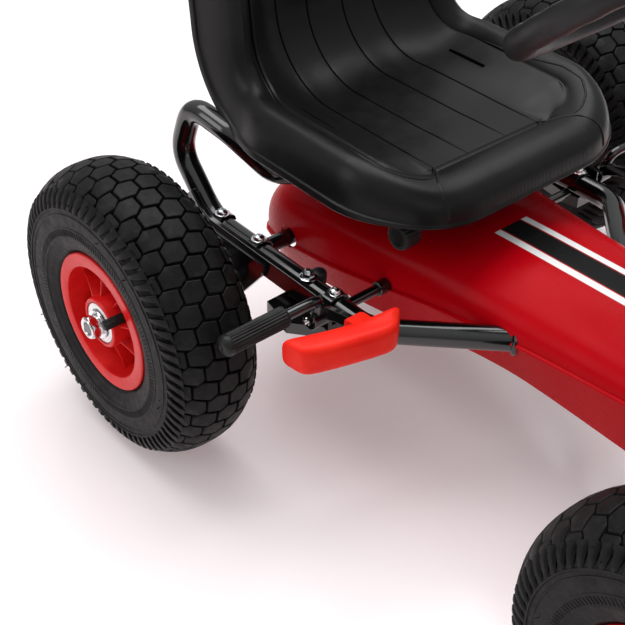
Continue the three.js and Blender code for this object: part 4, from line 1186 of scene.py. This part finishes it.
show("visual_seat_knob", build_mesh("seat_knob", *knob_shape(), moulded_black), "seat_knob", ("seat_knob",))

# The track: two rails with turned-in lips on a post, and the slider's two runners above them.
track_parts = [rounded_box((-16.6, 206.0, 154.4), (16.6, 309.6, 200.0), 3.0)]
for way in (-1, 1):
    for x0, x1, z0, z1 in ((34.0, 58.0, 197.0, 199.4), (34.0, 36.4, 197.0, 202.0), (55.6, 58.0, 197.0, 202.0)):
        low_x, high_x = sorted((way * x0, way * x1))
        track_parts.append(block((low_x, 200.0, z0), (high_x, 371.0, z1)))
for y in (216.0, 298.0, 356.0):
    track_parts.append(block((-57.0, y - 9.0, 197.0), (57.0, y + 9.0, 199.4)))
track_mesh = build_mesh("seat_track", *merge(*track_parts), black_paint)
round_edges(show("visual_seat_track", track_mesh, "chassis", ("seat_track",)), 0.5)
slider_parts = []
for way in (-1, 1):
    low_x, high_x = sorted((way * 37.0, way * 55.0))
    slider_parts.append(block((low_x, 198.0, 202.6), (high_x, 351.0, 206.0)))
    slider_parts.append(block((low_x + 7.6, 198.0, 205.0), (high_x - 7.6, 351.0, 229.2)))
for y in (207.0, 292.0, 340.0):
    slider_parts.append(block((-54.0, y - 8.0, 225.6), (54.0, y + 8.0, 229.2)))
slider_mesh = build_mesh("seat_slider", *merge(*slider_parts), black_paint)
round_edges(show("visual_seat_slider", slider_mesh, "seat", ("seat_slider",)), 0.5)

# ------------------------------------------------------------------ hand brakes
SLEEVE_ENDS = (-278.0, -216.0)
SLEEVE_RADIUS = 9.0
ROD_PLACE = (206.0, 176.0)
PIVOT = (214.0, 152.0)


def sleeve_shape():
    """A rubber sleeve with lengthwise ribs, a plain band near its domed end, and a small hole in the end."""
    start, end = SLEEVE_ENDS
    stations = (
        (0.6, 0.0, 0.0), (0.5, 1.2, 0.0), (0.0, 1.7, 0.0), (0.1, 3.2, 0.0), (0.6, 5.4, 0.0), (1.6, 7.4, 0.0),
        (3.2, 8.7, 0.0), (5.0, 9.0, 0.0), (6.6, 9.0, 0.0), (7.2, 8.9, 0.3), (8.0, 8.9, 1.0), (30.0, 8.9, 1.0),
        (58.6, 9.0, 1.0), (60.0, 9.0, 0.2), (61.4, 8.8, 0.0), (62.0, 8.0, 0.0), (62.0, 4.9, 0.0),
    )
    rings = []
    for along, radius, ribbed in stations:
        ring = []
        for k in range(132):
            angle = 2 * math.pi * k / 132
            wave = 0.5 - 0.5 * math.cos(22 * angle)
            size = radius * (1.0 - 0.09 * ribbed * wave ** 2)
            ring.append((start + along, size * math.cos(angle), size * math.sin(angle)))
        rings.append(ring)
    return moved(loft(rings), Matrix.Translation((0.0, *ROD_PLACE)))


def lever_shapes():
    """The bent rod with its hub, and the flat arm to the handle."""
    path = rounded_path([(SLEEVE_ENDS[1] - 30.0, *ROD_PLACE), (-181.0, *ROD_PLACE, 10.0),
                         (-178.0, PIVOT[0] - 1.0, PIVOT[1] + 3.0)], 1.5)
    bent = swept(path, 4.5, 28)
    hub = closed_turned([(-185.0, 4.4), (-185.0, 8.2), (-184.2, 9.0), (-170.4, 9.0), (-169.6, 8.2), (-169.6, 4.4)], 48)
    hub = moved(hub, Matrix.Translation((0.0, *PIVOT)))
    arm = [(214, 148), (214, 160), (202, 168), (182, 173.4), (172, 175), (169, 173), (169, 166), (172, 164), (190, 161), (202, 156)]
    return merge(bent, hub), plate(arm, -178.0, -172.0)


HANDLE_ENDS = (Vector((-245.0, 169.0, 169.6)), Vector((-146.5, 139.2, 171.4)))
HANDLE_HALF = (12.2, 13.2)
HANDLE_BOW = 3.0
HANDLE_BEVEL = (11.0, 15.0)


def handle_shape():
    """A moulded bar with flat, softly rounded ends; its upper back edge swells toward the inner end."""
    start, end = HANDLE_ENDS
    across = (end - start).normalized()
    depth_way = across.cross(Vector((0, 0, 1))).normalized()
    tall_way = depth_way.cross(across).normalized()
    steps = ((0.0, 0.70), (0.004, 0.80), (0.014, 0.88), (0.03, 0.94), (0.055, 0.985), (0.09, 1.0), (0.2, 0.995), (0.35, 0.985),
             (0.5, 0.98), (0.65, 0.985), (0.8, 0.995), (0.91, 1.0), (0.945, 0.985), (0.97, 0.94), (0.986, 0.88),
             (0.996, 0.80), (1.0, 0.70))
    rings = []
    for share, size in steps:
        middle = start.lerp(end, share) + depth_way * (HANDLE_BOW * (4.0 * share * (1.0 - share) - 0.5))
        bevel = HANDLE_BEVEL[0] * (1.0 - smoothstep(share, 0.0, 0.3)) - HANDLE_BEVEL[1] * smoothstep(share, 0.7, 1.0)
        swell = 3.4 * smoothstep(share, 0.62, 0.94)
        ring = []
        for k in range(64):
            angle = 2 * math.pi * k / 64
            c, s = math.cos(angle), math.sin(angle)
            wide = HANDLE_HALF[0] * size * math.copysign(abs(c) ** 0.52, c)
            tall = HANDLE_HALF[1] * size * math.copysign(abs(s) ** 0.52, s)
            if tall > 0 and wide < 0:
                tall += swell * (tall / HANDLE_HALF[1]) * min(1.0, -wide / HANDLE_HALF[0] + 0.3)
            shift = bevel * 0.5 * (1.0 + wide / HANDLE_HALF[0])
            ring.append(middle + depth_way * wide + tall_way * tall + across * shift)
        rings.append(ring)
    return loft(rings)


for side, sign in SIDES:
    body_name = f"brake_{side}"
    sleeve_mesh = build_mesh(f"sleeve_{side}", *on_side(sleeve_shape(), sign), sleeve_rubber, crease=60.0)
    show(f"visual_brake_sleeve_{side}", sleeve_mesh, body_name, (f"brake_sleeve_{side}",))
    bent, arm = lever_shapes()
    lever_mesh = build_mesh(f"lever_{side}", *on_side(bent, sign), black_paint)
    show(f"visual_brake_lever_{side}", lever_mesh, body_name, (f"brake_lever_{side}",))
    arm_mesh = build_mesh(f"lever_arm_{side}", *on_side(arm, sign), black_paint)
    round_edges(show(f"brake_lever_arm_{side}", arm_mesh, body_name, ()), 0.9, 3)
    handle_mesh = build_mesh(f"handle_{side}", *on_side(handle_shape(), sign), handle_red, crease=50.0)
    show(f"visual_brake_handle_{side}", handle_mesh, body_name, (f"brake_handle_{side}",))
    boss = plate([(153, 166), (153, 178), (156, 180), (168, 179.4), (173, 177), (174, 168), (171, 164.6), (156, 164)],
                 -184.0, -166.6)
    boss_mesh = build_mesh(f"handle_boss_{side}", *on_side(boss, sign), handle_red)
    round_edges(show(f"handle_boss_{side}", boss_mesh, body_name, ()), 3.2, 5)
    pivot_at = Matrix.Translation((-185.2, *PIVOT)) @ Matrix.Rotation(-math.pi / 2, 4, "Y") @ Matrix.Scale(0.7, 4)
    pivot_mesh = build_mesh(f"pivot_nut_{side}", *on_side(moved(nut_and_stud(), pivot_at), sign), chrome)
    show(f"brake_pivot_nut_{side}", pivot_mesh, "chassis", ())

# ------------------------------------------------------------------ steering wheel
COLUMN_TILT = math.radians(40.0)
COLUMN_FOOT = Vector((0.0, -172.0, 188.0))
COLUMN_WAY = Vector((0.0, math.sin(COLUMN_TILT), math.cos(COLUMN_TILT)))
wheel_at = Matrix.Translation(COLUMN_FOOT + COLUMN_WAY * 346.0) @ Matrix.Rotation(-COLUMN_TILT, 4, "X")
RIM_RING = 118.0
RIM_TUBE = 11.0


def wheel_rim_shape():
    """The rim: a ring of tube 22 mm thick, with shallow finger waves on the inner side of its grips."""
    rings = []
    for k in range(180):
        angle = 2 * math.pi * k / 180
        outward = Vector((math.cos(angle), math.sin(angle), 0.0))
        grip = smoothstep(math.cos(2 * angle), 0.55, 0.75)
        ring = []
        for m in range(24):
            turn = 2 * math.pi * m / 24
            c, s = math.cos(turn), math.sin(turn)
            wave = 0.55 * grip * (1.0 - c) * 0.5 * (1.0 + math.sin(30 * angle))
            size = RIM_TUBE - 0.5 * grip - wave
            ring.append(outward * (RIM_RING + size * c) + Vector((0, 0, size * s)))
        rings.append(ring)
    points = [p for ring in rings for p in ring]
    faces = []
    for k in range(180):
        for m in range(24):
            a, b = k * 24 + m, k * 24 + (m + 1) % 24
            c, d = ((k + 1) % 180) * 24 + (m + 1) % 24, ((k + 1) % 180) * 24 + m
            faces.append((a, b, c, d))
    return points, faces


def spoke_shape(angle):
    """A flared spoke with a raised rib down its middle."""
    sections = ((24.0, 17.0, 6.0), (34.0, 14.0, 5.0), (60.0, 11.5, 3.6), (88.0, 12.0, 3.6), (104.0, 14.0, 4.4), (112.0, 17.0, 5.0))
    rings = []
    for reach, half, thick in sections:
        rings.append([(reach, -half, -thick * 0.5), (reach, half, -thick * 0.5), (reach, half, thick * 0.3),
                      (reach, half - 2.5, thick * 0.8), (reach, half - 6.0, thick * 0.5), (reach, 0.0, thick * 0.35),
                      (reach, -half + 6.0, thick * 0.5), (reach, -half + 2.5, thick * 0.8), (reach, -half, thick * 0.3)])
    return moved(loft(rings), Matrix.Rotation(angle, 4, "Z"))


def hub_pad_shape():
    """The hub: a dished boss with a stepped round pad on the driver's side."""
    profile = [(-9.0, 0.0), (-9.0, 33.0), (-6.0, 34.0), (3.0, 31.5), (6.0, 30.0), (8.4, 27.4), (9.0, 25.6), (8.2, 24.6),
               (7.6, 23.8), (8.2, 22.8), (9.4, 21.6), (10.6, 16.0), (11.2, 8.0), (11.4, 0.0)]
    return moved(turned(profile, 72), Matrix.Rotation(-math.pi / 2, 4, "Y"))


wheel_parts = (("visual_steering_wheel", wheel_rim_shape()), ("wheel_hub_pad", hub_pad_shape()),
               ("wheel_spoke_left", spoke_shape(0.0)), ("wheel_spoke_right", spoke_shape(math.pi)),
               ("wheel_spoke_lower", spoke_shape(-math.pi / 2)))
for name, shape in wheel_parts:
    stands_for = ("steering_wheel",) if name == "visual_steering_wheel" else ()
    part_mesh = build_mesh(name, *moved(shape, wheel_at), moulded_black, crease=50.0)
    part = show(name, part_mesh, "steering", stands_for)
    if "spoke" in name:
        round_edges(part, 0.8, 3)
cover_at = Matrix.Translation(COLUMN_FOOT) @ Matrix.Rotation(-COLUMN_TILT, 4, "X") @ Matrix.Rotation(-math.pi / 2, 4, "Y")
boot = [(30.0, 16.4), (30.0, 18.6), (34.0, 19.4), (38.0, 17.6), (42.0, 18.6), (46.0, 16.4), (50.0, 17.0), (53.0, 15.6), (53.0, 15.4)]
boot_mesh = build_mesh("column_boot", *moved(closed_turned(boot, 64), cover_at), sleeve_rubber)
show("column_boot", boot_mesh, "chassis", ())
collar_profile = [(88.0, 9.2), (88.0, 13.0), (89.0, 14.0), (98.0, 14.0), (99.0, 13.0), (99.0, 9.2)]
collar_piece = build_mesh("column_collar", *moved(closed_turned(collar_profile, 48), cover_at), zinc)
show("column_collar", collar_piece, "steering", ())

# ------------------------------------------------------------------ pedals, crank, sprockets and chain
CRANK = (-335.0, 165.0)
CRANK_THROW = 80.0
CHAIN_X = 34.0
CHAIN_PITCH = 12.7
REAR_SPROCKET = (343.0, 130.0)
TEETH = {"front": 18, "rear": 12}


def crank_arm_shape(side):
    """A flattened arm with round eyes, broad at the axle and narrow at the pedal."""
    y_end = CRANK[0] + side * CRANK_THROW
    outline = []
    for k in range(17):
        angle = math.pi / 2 + math.pi * k / 16
        outline.append((CRANK[0] + side * 10.0 * math.cos(angle), CRANK[1] + 10.0 * math.sin(angle)))
    for k in range(17):
        angle = -math.pi / 2 + math.pi * k / 16
        outline.append((y_end + side * 9.0 * math.cos(angle), CRANK[1] + 9.0 * math.sin(angle)))
    return plate(outline, side * 49.6, side * 58.4)


spindles = [straight((-50.0, *CRANK), (50.0, *CRANK), 7.0, 32)]
for side in (-1, 1):
    spindle_y = CRANK[0] + side * CRANK_THROW
    spindles.append(straight((side * 57.0, spindle_y, CRANK[1]), (side * 131.0, spindle_y, CRANK[1]), 6.0, 32))
    spindles.append(straight((side * 58.4, spindle_y, CRANK[1]), (side * 61.4, spindle_y, CRANK[1]), 8.2, 32))
show("visual_crankshaft", build_mesh("crankshaft", *merge(*spindles), black_paint), "crank", ("crankshaft",))
for name, side in (("left", 1), ("right", -1)):
    arm_mesh = build_mesh(f"crank_arm_{name}", *crank_arm_shape(side), black_paint)
    round_edges(show(f"crank_arm_{name}", arm_mesh, "crank", ()), 1.6, 3)


def pedal_shape(side):
    """An open pedal frame: two end plates, front and rear treads with raised teeth, a barrel and bridges."""
    y, z = CRANK[0] + side * CRANK_THROW, CRANK[1]
    parts = []
    low_x, high_x = (62.4, 127.6) if side > 0 else (-127.6, -62.4)
    for x0, x1 in ((low_x, low_x + 5.0), (high_x - 5.0, high_x)):
        parts.append(rounded_box((x0, y - 29.6, z - 10.6), (x1, y + 29.6, z + 10.6), 4.5, "X"))
    for way in (-1, 1):
        y0, y1 = sorted((y + way * 22.0, y + way * 29.6))
        parts.append(block((low_x + 1.0, y0, z - 9.0), (high_x - 1.0, y1, z + 9.0)))
        for k in range(9):
            x = low_x + 7.0 + k * (high_x - low_x - 14.0) / 8
            for up in (-1, 1):
                z0, z1 = sorted((z + up * 8.6, z + up * 10.9))
                parts.append(block((x - 1.3, y0 + 0.4, z0), (x + 1.3, y1 - 0.4, z1)))
    for bridge_y in (-12.0, 12.0):
        parts.append(block((low_x + 3.0, y + bridge_y - 1.6, z - 8.0), (high_x - 3.0, y + bridge_y + 1.6, z + 8.0)))
    for x in (-0.22, 0.22):
        middle_x = (low_x + high_x) / 2 + x * (high_x - low_x)
        parts.append(block((middle_x - 1.5, y - 24.0, z - 7.0), (middle_x + 1.5, y - 9.0, z + 7.0)))
        parts.append(block((middle_x - 1.5, y + 9.0, z - 7.0), (middle_x + 1.5, y + 24.0, z + 7.0)))
    profile = [(low_x + 0.4, 6.3), (low_x + 0.4, 9.4), (low_x + 1.4, 9.9), (high_x - 1.4, 9.9), (high_x - 0.4, 9.4), (high_x - 0.4, 6.3)]
    parts.append(moved(closed_turned(profile, 48), Matrix.Translation((0.0, y, z))))
    return merge(*parts)


for name, side in (("left", 1), ("right", -1)):
    body_name = f"pedal_{name}"
    pedal_mesh = build_mesh(f"pedal_{name}", *pedal_shape(side), moulded_black)
    round_edges(show(f"visual_pedal_{name}", pedal_mesh, body_name, (f"pedal_{name}",)), 0.5)
    spot_x, spot_y = side * 95.0, CRANK[0] + side * CRANK_THROW
    for number, way in enumerate((-1, 1)):
        y0, y1 = sorted((spot_y + way * 28.6, spot_y + way * 29.95))
        lens = rounded_box((spot_x - 17.0, y0, CRANK[1] - 5.6), (spot_x + 17.0, y1, CRANK[1] + 5.6), 2.0, "Y")
        lens_mesh = build_mesh(f"reflector_{name}_{number}", *lens, amber)
        round_edges(show(f"reflector_{name}_{number}", lens_mesh, body_name, ()), 0.35)


def pitch_radius(teeth):
    return CHAIN_PITCH / (2 * math.sin(math.pi / teeth))


def sprocket_shape(teeth, bore, place):
    """A toothed disc with a boss; the bore is left clear for its shaft."""
    radius = pitch_radius(teeth)
    outline, inner = [], []
    steps = teeth * 8
    for k in range(steps):
        angle = 2 * math.pi * k / steps
        tooth = math.cos(teeth * angle)
        size = radius - 4.0 + 5.2 * smoothstep(tooth, -0.75, 0.9)
        outline.append((size * math.cos(angle), size * math.sin(angle)))
        inner.append((bore * math.cos(angle), bore * math.sin(angle)))
    points, faces = [], []
    for x, ring in ((-1.5, outline), (1.5, outline), (1.5, inner), (-1.5, inner)):
        points.extend((x, u, v) for u, v in ring)
    for r in range(4):
        for k in range(steps):
            j = (k + 1) % steps
            low, high = r * steps, ((r + 1) % 4) * steps
            faces.append((low + k, low + j, high + j, high + k))
    boss = closed_turned([(-5.6, bore), (-5.6, bore + 5.0), (-5.0, bore + 5.6), (5.0, bore + 5.6), (5.6, bore + 5.0), (5.6, bore)], 48)
    return moved(merge((points, faces), boss), Matrix.Translation((CHAIN_X, *place)))


front_sprocket = build_mesh("front_sprocket", *sprocket_shape(TEETH["front"], 7.2, CRANK), black_paint, crease=30.0)
round_edges(show("visual_front_sprocket", front_sprocket, "crank", ("front_sprocket",)), 0.3)
rear_sprocket = build_mesh("rear_sprocket", *sprocket_shape(TEETH["rear"], 7.7, REAR_SPROCKET), black_paint, crease=30.0)
round_edges(show("visual_rear_sprocket", rear_sprocket, "rear_axle", ("rear_sprocket",)), 0.3)


def chain_path():
    """Pin places round both sprockets, one pitch apart as nearly as the loop allows."""
    front, rear = Vector((0.0, *CRANK)), Vector((0.0, *REAR_SPROCKET))
    radii = (pitch_radius(TEETH["front"]), pitch_radius(TEETH["rear"]))
    run = rear - front
    heading = math.atan2(run.z, run.y)
    lean = math.asin((radii[0] - radii[1]) / run.length)
    up, down = heading + math.pi / 2 - lean, heading - math.pi / 2 + lean
    dense = []
    for k in range(61):
        angle = up + (2 * math.pi - (up - down)) * k / 60
        dense.append(front + Vector((0.0, math.cos(angle), math.sin(angle))) * radii[0])
    for k in range(61):
        angle = down + (up - down) * k / 60
        dense.append(rear + Vector((0.0, math.cos(angle), math.sin(angle))) * radii[1])
    dense.append(dense[0])
    lengths = [0.0]
    for a, b in zip(dense, dense[1:]):
        lengths.append(lengths[-1] + (b - a).length)
    count = 2 * round(lengths[-1] / CHAIN_PITCH / 2)
    pins, segment = [], 0
    for k in range(count):
        target = lengths[-1] * k / count
        while lengths[segment + 1] < target:
            segment += 1
        share = (target - lengths[segment]) / (lengths[segment + 1] - lengths[segment])
        pins.append(dense[segment].lerp(dense[segment + 1], share))
    return pins


def link_plate(start, end, x0, x1):
    """One waisted side plate between two pins."""
    along = (end - start).normalized()
    beside = Vector((0.0, -along.z, along.y))
    outline = []
    for centre, way, first in ((start, 1, math.pi / 2), (end, 1, -math.pi / 2)):
        for k in range(9):
            angle = first + way * math.pi * k / 8
            p = centre + along * (3.9 * math.cos(angle)) + beside * (3.9 * math.sin(angle))
            outline.append((p.y, p.z))
        middle = (start + end) / 2
        waist = middle + beside * (-2.9 if centre is start else 2.9)
        outline.append((waist.y, waist.z))
    return plate(outline, x0, x1)


pins = chain_path()
chain_parts = []
for number, pin in enumerate(pins):
    ahead = pins[(number + 1) % len(pins)]
    reach = 2.3 if number % 2 else 3.2
    for way in (-1, 1):
        low_x, high_x = sorted((CHAIN_X + way * reach, CHAIN_X + way * (reach - 0.8)))
        chain_parts.append(link_plate(pin, ahead, low_x, high_x))
    chain_parts.append(straight((CHAIN_X - 3.45, pin.y, pin.z), (CHAIN_X + 3.45, pin.y, pin.z), 1.6, 10, 0.2))
    chain_parts.append(straight((CHAIN_X - 1.5, pin.y, pin.z), (CHAIN_X + 1.5, pin.y, pin.z), 3.3, 12, 0.2))
show("visual_chain", build_mesh("chain", *merge(*chain_parts), chain_steel), "chassis", ("chain",))

# ------------------------------------------------------------------ front bumper
bumper_low, bumper_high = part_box("bumper")
bumper_path = rounded_path([(-138.0, -452.0, 118.0), (-112.0, -461.6, 118.0, 30.0), (112.0, -461.6, 118.0, 30.0), (138.0, -452.0, 118.0)])
bumper_shape = merge(swept(bumper_path, 11.0, 40), rounded_box((-13.6, -461.0, 109.4), (13.6, -432.6, 126.6), 3.0, "Y"))
show("visual_bumper", build_mesh("bumper", *bumper_shape, black_paint), "chassis", ("bumper",))
for side, sign in SIDES:
    cap_at = Matrix.Translation((-136.4, -452.6, 118.0)) @ Matrix.Rotation(math.radians(-20.3), 4, "Z")
    cap_profile = [(-3.6, 0.0), (-3.4, 6.0), (-2.6, 9.6), (-1.0, 11.4), (4.0, 11.5), (4.0, 11.0), (1.0, 10.6), (1.0, 0.0)]
    cap_mesh = build_mesh(f"bumper_cap_{side}", *on_side(moved(turned(cap_profile, 48), cap_at), sign), moulded_black)
    show(f"bumper_cap_{side}", cap_mesh, "chassis", ())

# ------------------------------------------------------------------ pieces kept from the CAD model
KEPT_PIECES = {
    "main_beam": 1.2, "steering_column": 0.6, "steering_bush": 0.8, "crank_housing": 1.2,
    "front_beam": 0.8, "knuckle": 0.6, "tie_rod": 0.4, "axle_carrier": 0.8, "brake_mount": 0.8,
}
for piece in list(bpy.data.objects):
    for name, width in KEPT_PIECES.items():
        if piece.name == name or piece.name in (f"{name}_right", f"{name}_left"):
            piece.data.materials.clear()
            piece.data.materials.append(black_paint)
            piece.data.shade_smooth()
            piece.data.set_sharp_from_angle(angle=math.radians(28))
            round_edges(piece, width, 3)


# ------------------------------------------------------------------ floor, light and camera
FLOOR_HALF = 6.0
floor_white = simple_finish("studio_floor", ((0.80, 0.765, 0.770), (0.84, 0.805, 0.810)), (0.16, 0.24),
                            (3.0, 1.0, 0.02), specular=0.5, mottle=2.0)
floor_corners = [(u * FLOOR_HALF, v * FLOOR_HALF, 0.0) for u, v in ((-1, -1), (1, -1), (1, 1), (-1, 1))]
floor_shader = floor_white.node_tree.nodes["Principled BSDF"]
# Painted fill light: the floor glows faintly pink, lifting the shade under the kart and standing in for the red hull's
# bounce light.
floor_shader.inputs["Emission Color"].default_value = (1.0, 0.80, 0.815, 1.0)
floor_shader.inputs["Emission Strength"].default_value = 0.22
floor_mesh = build_mesh("studio_floor", floor_corners, [(0, 1, 2, 3)], floor_white, scale=1.0)
floor = bpy.data.objects.new("studio_floor", floor_mesh)
bpy.context.scene.collection.objects.link(floor)


def soft_light(name, place, target, width, height, power, tint=(1.0, 1.0, 1.0)):
    data = bpy.data.lights.new(name, "AREA")
    data.shape = "RECTANGLE"
    data.size, data.size_y = width, height
    data.energy = power
    data.color = tint
    light = bpy.data.objects.new(name, data)
    light.location = place
    light.rotation_mode = "QUATERNION"
    light.rotation_quaternion = (Vector(target) - Vector(place)).to_track_quat("-Z", "Y")
    bpy.context.scene.collection.objects.link(light)


soft_light("overhead_softbox", (0.2, 0.9, 2.3), (0.0, 0.1, 0.0), 3.0, 1.6, 52.0)
soft_light("left_softbox", (-2.4, 1.2, 1.3), (0.0, 0.1, 0.2), 0.7, 1.4, 8.0)
soft_light("front_softbox", (-0.6, -2.8, 1.6), (0.0, 0.0, 0.2), 1.6, 1.0, 4.0)

SKY_LOW = 0.35
SKY_HIGH = 0.80
world = bpy.data.worlds.new("studio")
world.use_nodes = True
world.node_tree.nodes["Background"].inputs["Color"].default_value = (0.92, 0.93, 0.95, 1.0)
upness = add_node(world.node_tree, "ShaderNodeSeparateXYZ")
sky_place = add_node(world.node_tree, "ShaderNodeTexCoord")
world.node_tree.links.new(sky_place.outputs["Generated"], upness.inputs["Vector"])
sky_strength = remap(world.node_tree, upness.outputs["Z"], 0.0, 0.8, SKY_LOW, SKY_HIGH)
world.node_tree.links.new(sky_strength, world.node_tree.nodes["Background"].inputs["Strength"])
bpy.context.scene.world = world
bpy.context.scene.view_settings.view_transform = "Standard"

CAMERA_PLACE = (-0.700, -0.3979, 0.7751)
CAMERA_AZIMUTH = math.radians(-40.308)
CAMERA_ELEVATION = math.radians(37.560)
CAMERA_ROLL = math.radians(0.575)
camera_data = bpy.data.cameras.new("studio_camera")
camera_data.lens = 72.30
camera_data.sensor_width = 36.0
camera_data.clip_start = 0.02
camera = bpy.data.objects.new("studio_camera", camera_data)
back = Vector((math.sin(CAMERA_AZIMUTH) * math.cos(CAMERA_ELEVATION),
               -math.cos(CAMERA_AZIMUTH) * math.cos(CAMERA_ELEVATION), math.sin(CAMERA_ELEVATION)))
level = Vector((math.cos(CAMERA_AZIMUTH), math.sin(CAMERA_AZIMUTH), 0.0))
upward = back.cross(level)
right = level * math.cos(CAMERA_ROLL) + upward * math.sin(CAMERA_ROLL)
turn = Matrix((right, back.cross(right), back)).transposed().to_4x4()
camera.matrix_world = Matrix.Translation(CAMERA_PLACE) @ turn
bpy.context.scene.collection.objects.link(camera)
bpy.context.scene.camera = camera
